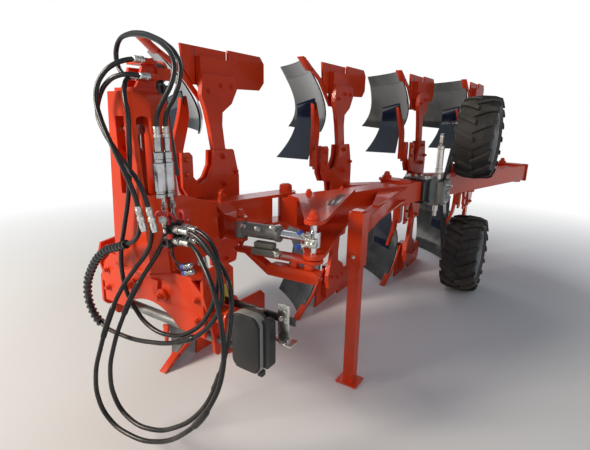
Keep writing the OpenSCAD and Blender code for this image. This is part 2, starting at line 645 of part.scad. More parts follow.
// Skimmer's face: from its edge at v = 0 up to the curl at v = 1, and out from the stem at u = 0
function skim_at(u, v) = [-84 + 26 * v - (150 + 60 * v * v) * u - 40 * v * v * u,
    336 - 150 * v * v + 26 * sin(180 * v) + 26 * u,
    240 + 36 * u + 420 * v * (1 - 0.08 * u)];
module skimmer_shape() {
    sheet([for (j = [0:7]) for (i = [0:5]) skim_at(i / 5, j / 7)], 5, 7, [2, 9, 0]);
    // Stem, from the clamp on the bracket to the back of the skimmer
    hull() {
        translate([18, 150, 640]) cube([26, 66, 60]);
        translate([0, 200, 470]) cube([26, 60, 20]);
    }
    hull() {
        translate([0, 200, 470]) cube([26, 60, 20]);
        translate([-60, 300, 350]) cube([26, 60, 20]);
    }
    hull() {
        translate([-60, 300, 350]) cube([26, 60, 20]);
        translate([-96, 348, 262]) cube([26, 34, 20]);
    }
}
module leg_shape() {
    plate_x(leg_x, leg_t) polygon([[336, 150], [600, 150], [612, 215], [560, 300], [480, 350], [474, 420], [496, 570], [520, 700],
        [520, 860], [400, 860], [404, 700], [402, 570], [372, 420], [350, 340], [318, 260]]);
    // Frog, between the leg and the landside
    plate_x(land_x + gap, leg_x - land_x - gap) polygon([[350, 60], [590, 60], [600, 150], [600, 230], [540, 300], [400, 300],
        [350, 200]]);
    plate_x(land_in - 40, 40 + land_t + 1) polygon([[440, land_h + gap], [590, land_h + gap], [590, 236], [540, 290], [440, 290]]);
    plate_x(land_in - 40, 40 - gap) polygon([[470, 80], [590, 80], [590, land_h + 1], [440, land_h + 1]]);
}
fork_top = 1262;
module headplate_shape() {
    for (x = [leg_x - plate_t - gap, leg_x + leg_t + gap]) both() plate_x(x, plate_t)
        polygon([[300, mid_z - 1], [590, mid_z - 1], [590, 1100], [548, fork_top - 10], [536, fork_top], [380, fork_top],
            [372, 1180], [330, 1112], [262, 1080], [216, 1130], [216, fork_top - 20], [196, fork_top], [140, fork_top],
            [140, 1080], [180, 1020], [280, 1008]]);
    both() translate([44 + gap, 150, 1100]) cube([leg_x - plate_t - 44 - gap, 66, 130]);
}
module headplate(i) color(red) body_frame(i) {
    headplate_shape();
    difference() {
        plate_z(beam_low + 20, beam_s - 40) link_2d([leg_x + leg_t + plate_t + 40, 520], pivot_local, 60, boss_r);
        rod_z(pivot_local, 0, 2000, pivot_pin_r + run);
        translate([-100, 0, 0]) cube([leg_x + leg_t + plate_t + 100, 2000, 2000]);
    }
    plate_z(beam_low + gap, beam_s - 2 * gap) difference() {
        translate(pivot_local) circle(boss_r, $fn = 64);
        translate(pivot_local) circle(pivot_pin_r + run, $fn = 64);
    }
}
module headplate_first() color(red) body_frame(0) {
    headplate_shape();
    difference() {
        plate_z(beam_low + 20, beam_s - 40) polygon([[leg_x + leg_t + plate_t, 330], [280, 330], [320, 560], [leg_x + leg_t + plate_t, 560]]);
        translate([-tip_x, -tip_y, 0]) plate_z(0, 2000) arm_web_2d(gap);
    }
}
module leg(i) color(red) body_frame(i) both() leg_shape();
module share(i) color(red) body_frame(i) both() share_shape();
module mouldboard(i) color(blue_steel) body_frame(i) both() mouldboard_shape();
module landside(i) color(red) body_frame(i) both() landside_shape();
module skimmer(i) color(blue_steel) body_frame(i) both() skimmer_shape();

// Depth wheels
module at_wheel(z) translate([wheel_x, wheel_y, z]) rotate([0, 90, 0]) children();
// Profile of the tyre as [radius, side], g inside the outline of its lugs
function tyre_profile(g) = let(r = tyre_d / 2 - g, h = tyre_w / 2 - g / 2)
    [[rim_r, 30 - tyre_w / 2], [r - 60, -h], [r - 22, 12 - h], [r - 6, 60 - h], [r, 0], [r - 6, h - 60], [r - 22, h - 12],
        [r - 60, h], [rim_r, tyre_w / 2 - 30]];
lug_h = 20;
lug_w = 36;
lug_lean = 78;
lug_count = 16;
module tyre_ring() {
    rotate_extrude($fn = 96) polygon(tyre_profile(lug_h));
    intersection() {
        rotate_extrude($fn = 96) polygon(tyre_profile(0));
        for (i = [0:lug_count - 1]) for (s = [-1, 1]) rotate([0, 0, (i + (s + 1) / 4) * 360 / lug_count])
            plate_x(tyre_d / 2 - 72, 90) polygon([[-lug_w / 2, -8 * s], [lug_w / 2, -8 * s],
                [lug_w / 2 - lug_lean, s * tyre_w / 2 + s], [-lug_w / 2 - lug_lean, s * tyre_w / 2 + s]]);
    }
}
module rim_ring() {
    rotate_extrude($fn = 96) polygon([[axle_r + run, 10], [axle_r + run, -70], [60, -70], [60, -12], [150, -12], [rim_r - 24, 30 - tyre_w / 2],
        [rim_r - gap, 30 - tyre_w / 2], [rim_r - gap, tyre_w / 2 - 30], [rim_r - 12, tyre_w / 2 - 30], [rim_r - 24, -4], [150, 6], [60, 10]]);
}
module upper_tyre() color(black) at_wheel(upper_wheel_z) tyre_ring();
module lower_tyre() color(black) at_wheel(tyre_d / 2) tyre_ring();
module upper_rim() color(zinc) at_wheel(upper_wheel_z) rim_ring();
module lower_rim() color(zinc) at_wheel(tyre_d / 2) rim_ring();
// Twin-wheel bracket: a casting on the beam, an arm to each axle and the adjusting spindle
arm_x = wheel_x - tyre_w / 2 - 42;
arm_t = 26;
arm_y = wheel_y - 270;
arm_pin_r = 20;
cast_low = 790;
cast_h = 205;
arm_root_z = [850, 940];
clamp_s = [1260, 1400];
clamp_t = 14;
module wheel_carrier() color(cast_grey) {
    difference() {
        plate_z(cast_low, cast_h) polygon([at(1275, beam_far + gap), at(1450, beam_far + gap),
            [arm_x - gap, arm_y + 60], [arm_x - gap, arm_y - 110]]);
        rod_z(spindle, 0, 2000, spindle_r + run);
    }
    for (z = arm_root_z) translate([0, arm_y, z]) rod_x(arm_x - 10, 10 + arm_t + 8, arm_pin_r);
    // Clamp around the beam
    row_frame() difference() {
        translate([clamp_s[0], -beam_far - clamp_t, beam_low - clamp_t])
            cube([clamp_s[1] - clamp_s[0], beam_s + 2 * clamp_t, beam_s + 2 * clamp_t]);
        translate([clamp_s[0] - 1, -beam_far - gap, beam_low - gap])
            cube([clamp_s[1] - clamp_s[0] + 2, beam_s + 2 * gap, beam_s + 2 * gap]);
    }
}
module wheel_arm(root_z, z) difference() {
    union() {
        plate_x(arm_x, arm_t) link_2d([arm_y, root_z], [wheel_y, z], 42, 48);
        translate([0, wheel_y, z]) rod_x(arm_x, wheel_x + 26 - arm_x, axle_r);
    }
    translate([0, arm_y, root_z]) rod_x(arm_x - 1, arm_t + 2, arm_pin_r + run);
}
module upper_wheel_arm() color(black) wheel_arm(arm_root_z[1], upper_wheel_z);
module lower_wheel_arm() color(black) wheel_arm(arm_root_z[0], tyre_d / 2);
spindle = [812, 2056];
spindle_r = 14;
spindle_nut_r = 20;
spindle_top = 1320;
module spindles() color(zinc) difference() {
    union() {
        rod_z(spindle, cast_low - 90, spindle_top - cast_low + 90, spindle_r);
        rod_z(spindle, cast_low - 50, 50 - gap, spindle_nut_r);
        rod_z(spindle, cast_low + cast_h + gap, 40, spindle_nut_r);
        plate_x(spindle[0] - 12, 24) link_2d([spindle[1], spindle_top - 40], [spindle[1], spindle_top], 26, 26);
    }
    translate([0, spindle[1], spindle_top]) rod_x(spindle[0] - 40, 80, 11);
}

tower();
hitch_frame();
hitch_shaft();
top_link_pin();
ram_ears();
turnover_housing();
valve_block();
coupler_rack();
lamp_bracket();
lamp_housing();
turnover_barrel();
turnover_rod();
turnover_crank();
cross_body();
front_arm();
width_barrel();
width_rod();
beam();
stand_arm();
for (i = [0:pairs - 1]) {
    union() {
        if (i == 0) headplate_first();
        else headplate(i);
    }
    leg(i);
    share(i);
    mouldboard(i);
    landside(i);
    skimmer(i);
}
stand_leg();
wheel_carrier();
upper_wheel_arm();
lower_wheel_arm();
spindles();
upper_tyre();
lower_tyre();
upper_rim();
lower_rim();
hose(hose_top_front_route);  // hose_top_front
hose(hose_top_rear_route);  // hose_top_rear
hose(hose_return_route);  // hose_return
hose(hose_bundle_route);  // hose_bundle
hose(hose_loop_front_route);  // hose_loop_front
hose(hose_loop_rear_route);  // hose_loop_rear
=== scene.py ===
# %% [markdown]
# # A mounted reversible plough
# The plough stands parked on its lower bodies, its lower depth wheel and its stand. Its sizes, joints and
# plain solids come ready made from the CAD frame. This lesson gives each of them its finish, and adds the
# thin and curved things that a CAD solid leaves plain: the twisted boards, hoses, bolts, caps, label places
# and welds.

# %% Load the frame
import json
import math

import bpy
from mathutils import Matrix, Vector
from mathutils.geometry import interpolate_bezier


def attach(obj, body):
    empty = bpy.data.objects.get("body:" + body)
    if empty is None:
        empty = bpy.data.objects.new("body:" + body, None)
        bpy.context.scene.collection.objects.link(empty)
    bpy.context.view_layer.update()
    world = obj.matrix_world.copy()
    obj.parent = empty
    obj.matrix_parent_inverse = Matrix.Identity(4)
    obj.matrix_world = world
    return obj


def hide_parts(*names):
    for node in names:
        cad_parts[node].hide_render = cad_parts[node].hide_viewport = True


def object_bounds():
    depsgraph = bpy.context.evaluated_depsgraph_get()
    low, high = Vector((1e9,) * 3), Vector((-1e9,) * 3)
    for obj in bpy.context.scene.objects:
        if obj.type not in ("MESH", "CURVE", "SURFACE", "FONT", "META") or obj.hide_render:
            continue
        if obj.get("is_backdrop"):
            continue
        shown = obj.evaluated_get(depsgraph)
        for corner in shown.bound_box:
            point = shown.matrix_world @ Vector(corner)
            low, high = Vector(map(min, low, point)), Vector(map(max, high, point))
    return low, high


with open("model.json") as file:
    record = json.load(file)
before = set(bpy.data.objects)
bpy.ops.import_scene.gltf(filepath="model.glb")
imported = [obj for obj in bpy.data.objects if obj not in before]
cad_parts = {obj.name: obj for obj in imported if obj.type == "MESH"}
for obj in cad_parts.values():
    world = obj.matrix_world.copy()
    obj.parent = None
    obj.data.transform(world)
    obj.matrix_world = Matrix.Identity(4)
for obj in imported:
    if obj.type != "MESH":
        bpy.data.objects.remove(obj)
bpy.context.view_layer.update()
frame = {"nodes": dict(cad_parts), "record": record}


def plain_box():
    """Lowest and highest corner of everything that shows, as plain lists."""
    return [[round(float(c), 5) for c in corner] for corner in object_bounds()]


# %% [markdown]
# The camera stands where the photographer stood: at eye height, a step ahead of the headstock and to its
# right. Its place was worked out from straight edges of known length, so it is set by its three directions
# and not by angles typed by hand. A camera in Blender looks along its own -Z, so the forward direction is
# negated.

# %% Camera
EYE = Vector((1.58047, -1.24014, 1.45241))
RIGHT = Vector((0.84132, 0.54032, 0.01539))
UP = Vector((-0.15152, 0.20841, 0.96623))
AHEAD = Vector((-0.51887, 0.81524, -0.25721))
LENS_MM = 24.797

bpy.ops.object.camera_add()
camera = bpy.context.object
camera.data.lens = LENS_MM
camera.data.clip_start = 0.05
rows = [[RIGHT[k], UP[k], -AHEAD[k], EYE[k]] for k in range(3)]
camera.matrix_world = Matrix(rows + [[0, 0, 0, 1]])
bpy.context.scene.camera = camera
print("camera height %.2f m, lens %.1f mm" % (EYE.z, LENS_MM))

# %% [markdown]
# Small helpers come next. Blender's operators act on whatever is selected, so each step starts from an
# empty selection. A finished piece has its place in its mesh and its origin at zero, as the CAD pieces
# have.

# %% Helpers for pieces
MM = 0.001


def nothing_selected():
    bpy.ops.object.select_all(action="DESELECT")


def only(piece):
    nothing_selected()
    piece.select_set(True)
    bpy.context.view_layer.objects.active = piece
    return piece


def settle(piece):
    """Put the piece's place into its mesh."""
    only(piece)
    bpy.ops.object.transform_apply(location=True, rotation=True, scale=True)
    return piece


def in_scene(name, data):
    """A new piece from its mesh or curve, put into the scene."""
    piece = bpy.data.objects.new(name, data)
    bpy.context.collection.objects.link(piece)
    bpy.context.view_layer.update()
    return piece


def with_modifier(piece, kind, **values):
    """Add a modifier with these values and apply it."""
    only(piece)
    modifier = piece.modifiers.new(kind.title(), kind)
    for key, value in values.items():
        setattr(modifier, key, value)
    bpy.ops.object.modifier_apply(modifier=modifier.name)
    return piece


def joined(pieces):
    """Make one piece of several."""
    nothing_selected()
    for piece in pieces:
        piece.select_set(True)
    bpy.context.view_layer.objects.active = pieces[0]
    if len(pieces) > 1:
        bpy.ops.object.join()
    return bpy.context.object


def copy_of(piece, matrix):
    """A copy with its own mesh, turned and moved in its mesh. A mirrored copy has its faces turned back."""
    twin = piece.copy()
    twin.data = piece.data.copy()
    twin.data.transform(matrix)
    if matrix.determinant() < 0:
        twin.data.flip_normals()
    bpy.context.collection.objects.link(twin)
    return twin


def moved(piece, matrix):
    """Turn and move a piece in its own mesh."""
    piece.data.transform(matrix)
    return piece


def removed(*pieces):
    for piece in pieces:
        bpy.data.objects.remove(piece)


def facing(direction):
    """Rotation that turns +Z to a direction."""
    return Vector((0, 0, 1)).rotation_difference(Vector(direction)).to_matrix().to_4x4()


print("helpers ready")

# %% [markdown]
# The hoses are real lengths of 20 mm hydraulic hose. Each leaves a fitting on the headstock, hangs in the
# loops of the parked plough and ends in a coupler. A curve is the natural way to model one: its points are
# the route, and its bevel is the hose's radius. The handles are automatic, which gives the even bends of a
# stiff hose.

# %% Hose routes, in mm from fitting to fitting
HOSE_D = 0.020
HOSE_ROUTES = {
    "hose_top_front": [
        [180, -108, 1360], [180, -108, 1400], [190, -107, 1455], [225, -100, 1510], [264, -90, 1570],
        [274, -80, 1624], [250, -66, 1674], [198, -48, 1712], [90, -20, 1758], [-40, 8, 1788],
        [-150, 22, 1795], [-193, 24, 1784], [-224, 24, 1752], [-235, 24, 1710], [-224, 24, 1667],
        [-192, 24, 1636], [-150, 24, 1625], [-95, 24, 1625]],
    "hose_top_rear": [
        [180, -62, 1360], [180, -62, 1405], [195, -60, 1465], [232, -52, 1520], [258, -44, 1580],
        [256, -32, 1640], [215, -16, 1692], [150, 0, 1732], [60, 16, 1770], [-60, 36, 1802],
        [-190, 54, 1807], [-235, 58, 1795], [-269, 60, 1762], [-281, 60, 1716], [-269, 60, 1670],
        [-235, 60, 1637], [-190, 60, 1625], [-95, 60, 1625]],
    "hose_return": [
        [52, -84, 1602], [52, -106, 1602], [58, -140, 1588], [72, -164, 1554], [90, -178, 1508],
        [106, -182, 1450], [100, -182, 1370], [88, -180, 1280], [70, -178, 1180], [44, -178, 1080],
        [12, -185, 964], [-14, -192, 860], [-18, -196, 760], [8, -202, 675], [65, -206, 605],
        [148, -206, 545], [288, -202, 534], [430, -194, 600], [500, -172, 690], [517, -142, 785],
        [500, -112, 875], [446, -88, 945], [345, -74, 985], [300, -74, 985]],
    "hose_bundle": [
        [86, -76, 1668], [86, -108, 1668], [70, -150, 1660], [34, -182, 1640], [-8, -204, 1602],
        [-30, -218, 1555], [-28, -228, 1500], [0, -236, 1440], [45, -242, 1370], [95, -246, 1300],
        [145, -242, 1215], [178, -232, 1120], [172, -218, 1020], [130, -212, 945], [30, -216, 895],
        [-95, -225, 845], [-190, -238, 745], [-228, -248, 640], [-205, -252, 540], [-130, -252, 482],
        [0, -250, 468], [200, -240, 490], [370, -222, 540], [505, -198, 630], [560, -170, 740],
        [540, -145, 840], [465, -128, 935], [385, -120, 980], [340, -118, 985], [300, -118, 985]],
    "hose_loop_front": [
        [116, -76, 1602], [116, -108, 1602], [100, -146, 1606], [56, -172, 1602], [-4, -188, 1575],
        [-48, -198, 1522], [-62, -206, 1455], [-20, -214, 1385], [45, -215, 1315], [110, -214, 1250],
        [172, -210, 1190], [206, -204, 1110], [212, -194, 1025], [192, -184, 950], [146, -178, 875],
        [90, -204, 795], [42, -250, 700], [20, -300, 590], [8, -350, 460], [0, -385, 330],
        [34, -402, 220], [110, -405, 158], [220, -398, 136], [370, -380, 160], [530, -352, 265],
        [625, -312, 400], [652, -268, 530], [622, -232, 680], [555, -198, 800], [460, -160, 890],
        [380, -130, 932], [340, -118, 935], [300, -118, 935]],
    "hose_loop_rear": [
        [194, -108, 1000], [194, -108, 965], [176, -132, 885], [125, -165, 790], [80, -210, 690],
        [58, -262, 580], [44, -312, 455], [46, -345, 330], [92, -362, 235], [190, -366, 178],
        [320, -355, 178], [450, -332, 235], [545, -300, 320], [605, -262, 440], [622, -218, 570],
        [605, -165, 680], [570, -120, 780], [500, -88, 850], [410, -76, 900], [345, -74, 935],
        [300, -74, 935]],
}
print({name: len(route) for name, route in HOSE_ROUTES.items()})

# %% Make the hoses


def round_curve(name, radius, resolution):
    """Curve data with a round section, its radius in mm, still without a spline."""
    curve = bpy.data.curves.new(name, "CURVE")
    curve.dimensions = "3D"
    curve.bevel_depth = radius * MM
    curve.bevel_resolution = resolution
    curve.resolution_u = 8
    curve.use_fill_caps = True
    return curve


def smooth_curve(name, places, radius, resolution=3):
    """A round curve as one open spline through places in mm, with even bends."""
    curve = round_curve(name, radius, resolution)
    spline = curve.splines.new("BEZIER")
    spline.bezier_points.add(len(places) - 1)
    for point, place in zip(spline.bezier_points, places):
        point.co = Vector(place) * MM
        point.handle_left_type = point.handle_right_type = "AUTO"
    return in_scene(name + "_piece", curve)


def line_of(piece, steps=8):
    """Points along a hose's centre line, in metres."""
    points = piece.data.splines[0].bezier_points
    line = []
    for a, b in zip(points[:-1], points[1:]):
        line += interpolate_bezier(a.co, a.handle_right, b.handle_left, b.co, steps + 1)[:-1]
    return [Vector(p) for p in line] + [points[-1].co.copy()]


def length_of(line):
    return sum((b - a).length for a, b in zip(line[:-1], line[1:]))


hoses = {}
hose_lines = {}
for name, route in HOSE_ROUTES.items():
    hoses[name] = smooth_curve(name, route, HOSE_D / 2 / MM, resolution=4)
    hose_lines[name] = line_of(hoses[name])
    print(name, "%.2f m" % length_of(hose_lines[name]))

# %% [markdown]
# Every finish has small things in common: dust that settles on what faces up, a fine grain, patches that
# are a little lighter or darker, and edges that catch the light because no real edge is perfectly sharp.
# These are made once, as node groups, and each finish sets its own amounts.

# %% Node helpers


def new_group(name, inputs, outputs):
    """A shader group with named sockets, and the sockets its nodes read from and write to."""
    group = bpy.data.node_groups.new(name, "ShaderNodeTree")
    for label, kind, value in inputs:
        socket = group.interface.new_socket(label, in_out="INPUT", socket_type="NodeSocket" + kind)
        socket.default_value = value
    for label, kind in outputs:
        group.interface.new_socket(label, in_out="OUTPUT", socket_type="NodeSocket" + kind)
    return group, group.nodes.new("NodeGroupInput").outputs, group.nodes.new("NodeGroupOutput").inputs


def add(tree, kind, operation=None, **values):
    """A node whose inputs are set by name or by number: a link for a socket, a value for anything else."""
    node = tree.nodes.new("ShaderNode" + kind)
    if operation:
        node.operation = operation
    for key, value in values.items():
        if key.startswith("set_"):
            setattr(node, key[4:], value)
            continue
        if key[0] == "i" and key[1:].isdigit():
            socket = node.inputs[int(key[1:])]
        else:
            socket = node.inputs[key.replace("_", " ")]
        if isinstance(value, bpy.types.NodeSocket):
            tree.links.new(value, socket)
        else:
            socket.default_value = value
    return node


def math_of(tree, operation, a, b):
    """The result of one sum, product or comparison."""
    return add(tree, "Math", operation, i0=a, i1=b).outputs[0]


def mixed(tree, factor, a, b):
    """A colour between a and b."""
    return add(tree, "Mix", set_data_type="RGBA", i0=factor, i6=a, i7=b).outputs[2]


def ramped(tree, value, low, high, to_low=0.0, to_high=1.0):
    """A value taken from low..high to another range, and clipped."""
    return add(tree, "MapRange", i0=value, i1=low, i2=high, i3=to_low, i4=to_high).outputs[0]


def noise(tree, place, scale, detail, roughness=0.5):
    """Soft random values over a place."""
    return add(tree, "TexNoise", Vector=place, Scale=scale, Detail=detail, Roughness=roughness).outputs[0]


print("node helpers ready")

# %% Dust, patches and grain
surface_group, given, out = new_group(
    "dust_and_grain",
    [("Dust", "Float", 0.2), ("Dust Scale", "Float", 9.0), ("Patch Scale", "Float", 2.5),
     ("Grain Scale", "Float", 220.0), ("Low Dust", "Float", 0.3)],
    [("Dust Mask", "Float"), ("Patch", "Float"), ("Grain", "Float")])
place = add(surface_group, "TexCoord").outputs["Object"]
normal = add(surface_group, "NewGeometry").outputs["Normal"]
faces_up = ramped(surface_group, add(surface_group, "SeparateXYZ", Vector=normal).outputs["Z"], 0.1, 1.0)
is_low = ramped(surface_group, add(surface_group, "SeparateXYZ", Vector=place).outputs["Z"], 0.5, 0.0)
cloud = noise(surface_group, place, given["Dust Scale"], 6.0, roughness=0.62)
settled = math_of(surface_group, "MULTIPLY", faces_up, ramped(surface_group, cloud, 0.38, 0.66))
splashed = math_of(surface_group, "MULTIPLY", is_low, ramped(surface_group, cloud, 0.42, 0.62))
high = math_of(surface_group, "MULTIPLY", settled, given["Dust"])
low = math_of(surface_group, "MULTIPLY", splashed, given["Low Dust"])
patch = noise(surface_group, place, given["Patch Scale"], 3.0)
grain = noise(surface_group, place, given["Grain Scale"], 2.0)
surface_group.links.new(math_of(surface_group, "MAXIMUM", low, high), out["Dust Mask"])
surface_group.links.new(patch, out["Patch"])
surface_group.links.new(grain, out["Grain"])
print("group", surface_group.name)

# %% Soft edges
edge_group, given, out = new_group(
    "soft_edges", [("Radius", "Float", 0.003), ("Scale", "Float", 60.0)],
    [("Normal", "Vector"), ("Edge", "Float")])
bevel = add(edge_group, "Bevel", set_samples=6, Radius=given["Radius"]).outputs[0]
flat = add(edge_group, "NewGeometry").outputs["Normal"]
meeting = add(edge_group, "VectorMath", "DOT_PRODUCT", i0=bevel, i1=flat).outputs["Value"]
broken = noise(edge_group, add(edge_group, "TexCoord").outputs["Object"], given["Scale"], 4.0)
# The edge mask marks the rounded edges: the finishes use it for their wear, and the red paint uses it for a
# painted highlight.
edge_wear_and_highlight_mask = math_of(edge_group, "MULTIPLY", ramped(edge_group, meeting, 0.985, 0.80),
               ramped(edge_group, broken, 0.42, 0.60))
edge_group.links.new(bevel, out["Normal"])
edge_group.links.new(edge_wear_and_highlight_mask, out["Edge"])
print("group", edge_group.name)

# %% [markdown]
# A finish is a Principled shader with those groups in front of it. The paint is a coloured layer with a
# clear, glossy skin, so it gets a coat. Bare and plated metals are metallic, and rubber is rough and dark.
# The colours are written as they should look under plain light.

# %% A finish
DUST_COLOUR = (0.33, 0.27, 0.20, 1.0)
DUST_ROUGHNESS = 0.45
GRAIN_DEPTH = 0.002


def finish_of(name, colour, roughness, metallic=0.0, coat=0.0, coat_roughness=0.08, dust=0.15,
              low_dust=0.25, patch=0.08, patch_scale=2.5, grain=0.02, grain_scale=220.0, edge=0.003,
              edge_wear_and_highlight=None, edge_wear_and_highlight_amount=0.0, specular=0.5):
    """A material from its name, its colour and how it takes dust, grain, wear and a painted edge highlight.
    """
    material = bpy.data.materials.new(name)
    material.use_nodes = True
    tree = material.node_tree
    shader = tree.nodes["Principled BSDF"]
    surface = add(tree, "Group", set_node_tree=surface_group, Dust=dust, Low_Dust=low_dust,
                  Patch_Scale=patch_scale, Grain_Scale=grain_scale).outputs
    edges = add(tree, "Group", set_node_tree=edge_group, Radius=edge).outputs
    darker = tuple(c * (1 - patch) for c in colour) + (1.0,)
    lighter = tuple(min(1.0, c * (1 + patch)) for c in colour) + (1.0,)
    base = mixed(tree, ramped(tree, surface["Patch"], 0.35, 0.65), darker, lighter)
    # Along the edges the base turns to a second colour: real wear on the boards and the tyres, and a painted
    # highlight on the red paint.
    if edge_wear_and_highlight:
        base = mixed(tree, math_of(tree, "MULTIPLY", edges["Edge"], edge_wear_and_highlight_amount), base, edge_wear_and_highlight + (1.0,))
    base = mixed(tree, surface["Dust Mask"], base, DUST_COLOUR)
    tree.links.new(base, shader.inputs["Base Color"])
    rough = ramped(tree, surface["Patch"], 0.3, 0.7, max(0.03, roughness - 0.05), roughness + 0.06)
    dusty = math_of(tree, "ADD", rough, math_of(tree, "MULTIPLY", surface["Dust Mask"], DUST_ROUGHNESS))
    tree.links.new(dusty, shader.inputs["Roughness"])
    shader.inputs["Metallic"].default_value = metallic
    shader.inputs["Coat Weight"].default_value = coat
    shader.inputs["Coat Roughness"].default_value = coat_roughness
    shader.inputs["Specular IOR Level"].default_value = specular
    bump = add(tree, "Bump", Strength=grain, Distance=GRAIN_DEPTH, Height=surface["Grain"],
               Normal=edges["Normal"])
    tree.links.new(bump.outputs[0], shader.inputs["Normal"])
    return material


print("dust colour:", DUST_COLOUR[:3])

# %% Paint and lacquer
# The red paint's lighter orange edge colour is a painted highlight along its edges.
paint_red = finish_of(
    "paint_red", (0.70, 0.050, 0.010), 0.32, coat=0.18, coat_roughness=0.06, dust=0.05,
    low_dust=0.14, patch=0.10, edge_wear_and_highlight=(0.85, 0.18, 0.05), edge_wear_and_highlight_amount=0.45, grain=0.05, specular=0.2)
board_lacquer = finish_of(
    "board_lacquer", (0.008, 0.013, 0.034), 0.14, metallic=0.2, coat=1.0,
    coat_roughness=0.03, dust=0.03, low_dust=0.08, patch=0.25, patch_scale=6.0, edge=0.002,
    edge_wear_and_highlight=(0.25, 0.24, 0.24), edge_wear_and_highlight_amount=0.6)
black_paint = finish_of("black_paint", (0.018, 0.018, 0.020), 0.34, coat=0.3, dust=0.22,
                        patch=0.2, edge=0.002)
rim_silver = finish_of("rim_silver", (0.42, 0.42, 0.43), 0.38, metallic=0.6, dust=0.3,
                       patch=0.1)
plate_yellow = finish_of("plate_yellow", (0.62, 0.42, 0.03), 0.40, dust=0.20, patch=0.12,
                         patch_scale=30.0, edge=0.0005)
plate_dark = finish_of("plate_dark", (0.020, 0.019, 0.022), 0.30, coat=0.3, patch=0.2,
                       edge=0.0005)
print(len(bpy.data.materials), "finishes")

# %% Metals
board_steel = finish_of(
    "board_steel", (0.052, 0.048, 0.043), 0.22, metallic=0.85, coat=0.12,
    coat_roughness=0.06, dust=0.06, low_dust=0.10, patch=0.35, patch_scale=5.0, grain=0.04, edge=0.002,
    edge_wear_and_highlight=(0.34, 0.30, 0.25), edge_wear_and_highlight_amount=0.7)
shaft_steel = finish_of("shaft_steel", (0.24, 0.25, 0.25), 0.48, metallic=0.5, dust=0.20,
                        patch=0.22, patch_scale=9.0, edge=0.002)
valve_steel = finish_of("valve_steel", (0.40, 0.40, 0.41), 0.18, metallic=1.0, dust=0.06,
                        patch=0.25, patch_scale=20.0, edge=0.0015)
zinc = finish_of("zinc", (0.60, 0.59, 0.55), 0.30, metallic=1.0, patch=0.14, patch_scale=18.0,
                 edge=0.0015)
chrome = finish_of("chrome", (0.72, 0.72, 0.74), 0.12, metallic=1.0, dust=0.04, patch=0.03,
                   edge=0.001)
casting = finish_of("casting", (0.20, 0.21, 0.195), 0.46, metallic=0.25, dust=0.20,
                    patch=0.16, patch_scale=9.0, grain=0.25, grain_scale=160.0, edge=0.006)
olive_block = finish_of("olive_block", (0.215, 0.215, 0.175), 0.45, metallic=0.2, patch=0.15)
print(len(bpy.data.materials), "finishes")

# %% Plastic and rubber
guard_plastic = finish_of("guard_plastic", (0.012, 0.012, 0.013), 0.22, coat=0.6,
                          coat_roughness=0.1, dust=0.10, low_dust=0.2, patch=0.2, edge=0.0008)
cap_blue = finish_of("cap_blue", (0.012, 0.065, 0.36), 0.40, dust=0.10, grain=0.1,
                     edge=0.0015)
cap_red = finish_of("cap_red", (0.52, 0.020, 0.018), 0.36, dust=0.08, grain=0.1, edge=0.0015)
knob_white = finish_of("knob_white", (0.72, 0.71, 0.68), 0.35, coat=0.3, dust=0.12, patch=0.05,
                       edge=0.0015)
lamp_plastic = finish_of("lamp_plastic", (0.022, 0.022, 0.024), 0.42, dust=0.20,
                         patch=0.12, grain=0.15, grain_scale=420.0, edge=0.004)
lamp_rim_grey = finish_of("lamp_rim_grey", (0.34, 0.34, 0.32), 0.45, dust=0.2,
                          patch=0.12, grain=0.1, edge=0.002)
hose_rubber = finish_of(
    "hose_rubber", (0.009, 0.009, 0.010), 0.28, coat=0.15, coat_roughness=0.2, dust=0.08,
    patch=0.3, patch_scale=12.0, grain=0.12, grain_scale=500.0, edge=0.001, specular=0.35)
tyre_rubber = finish_of(
    "tyre_rubber", (0.020, 0.018, 0.016), 0.66, dust=0.30, low_dust=0.32, patch=0.3,
    patch_scale=5.0, grain=0.35, grain_scale=150.0, edge=0.004, edge_wear_and_highlight=(0.10, 0.09, 0.07), edge_wear_and_highlight_amount=0.6)
print(len(bpy.data.materials), "finishes")

# %% Give the CAD nodes their finishes
SLOT_FINISH = {"red_paint": paint_red, "board_blue": board_lacquer, "zinc": zinc, "rod_chrome": chrome,
               "black_paint": black_paint, "cast_grey": casting, "lamp_plastic": lamp_plastic,
               "hose_rubber": hose_rubber, "tyre": tyre_rubber, "rim_paint": rim_silver}
NODE_FINISH = {"hitch_shaft": shaft_steel}


def painted(piece, material, smooth):
    """Give a piece its finish, and shade it smooth where its faces meet at a small angle."""
    only(piece)
    piece.data.materials.clear()
    piece.data.materials.append(material)
    bpy.ops.object.shade_smooth_by_angle(angle=math.radians(smooth))


for part in frame["record"]["subparts"]:
    material = NODE_FINISH.get(part["node"], SLOT_FINISH[part["material_slot"]])
    painted(frame["nodes"][part["node"]], material, 30)
print(len(frame["nodes"]), "nodes finished")

# %% Finish a new piece


def finish_piece(piece, name, body, material, smooth=35):
    """Name a piece, give it its finish, and let it ride on its body."""
    settle(piece)
    piece.name = name
    piece.data.name = name
    painted(piece, material, smooth)
    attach(piece, body)
    return piece


# %% [markdown]
# A pressed steel ferrule grips each hose end, and a few sleeves sit along the hoses: joints, clamps and a
# ribbed guard where the bundle rubs. They are turned parts, so one helper makes them all: it starts from a
# flat disc and extrudes and scales its face step by step, as a profile on a lathe would.

# %% Turned parts


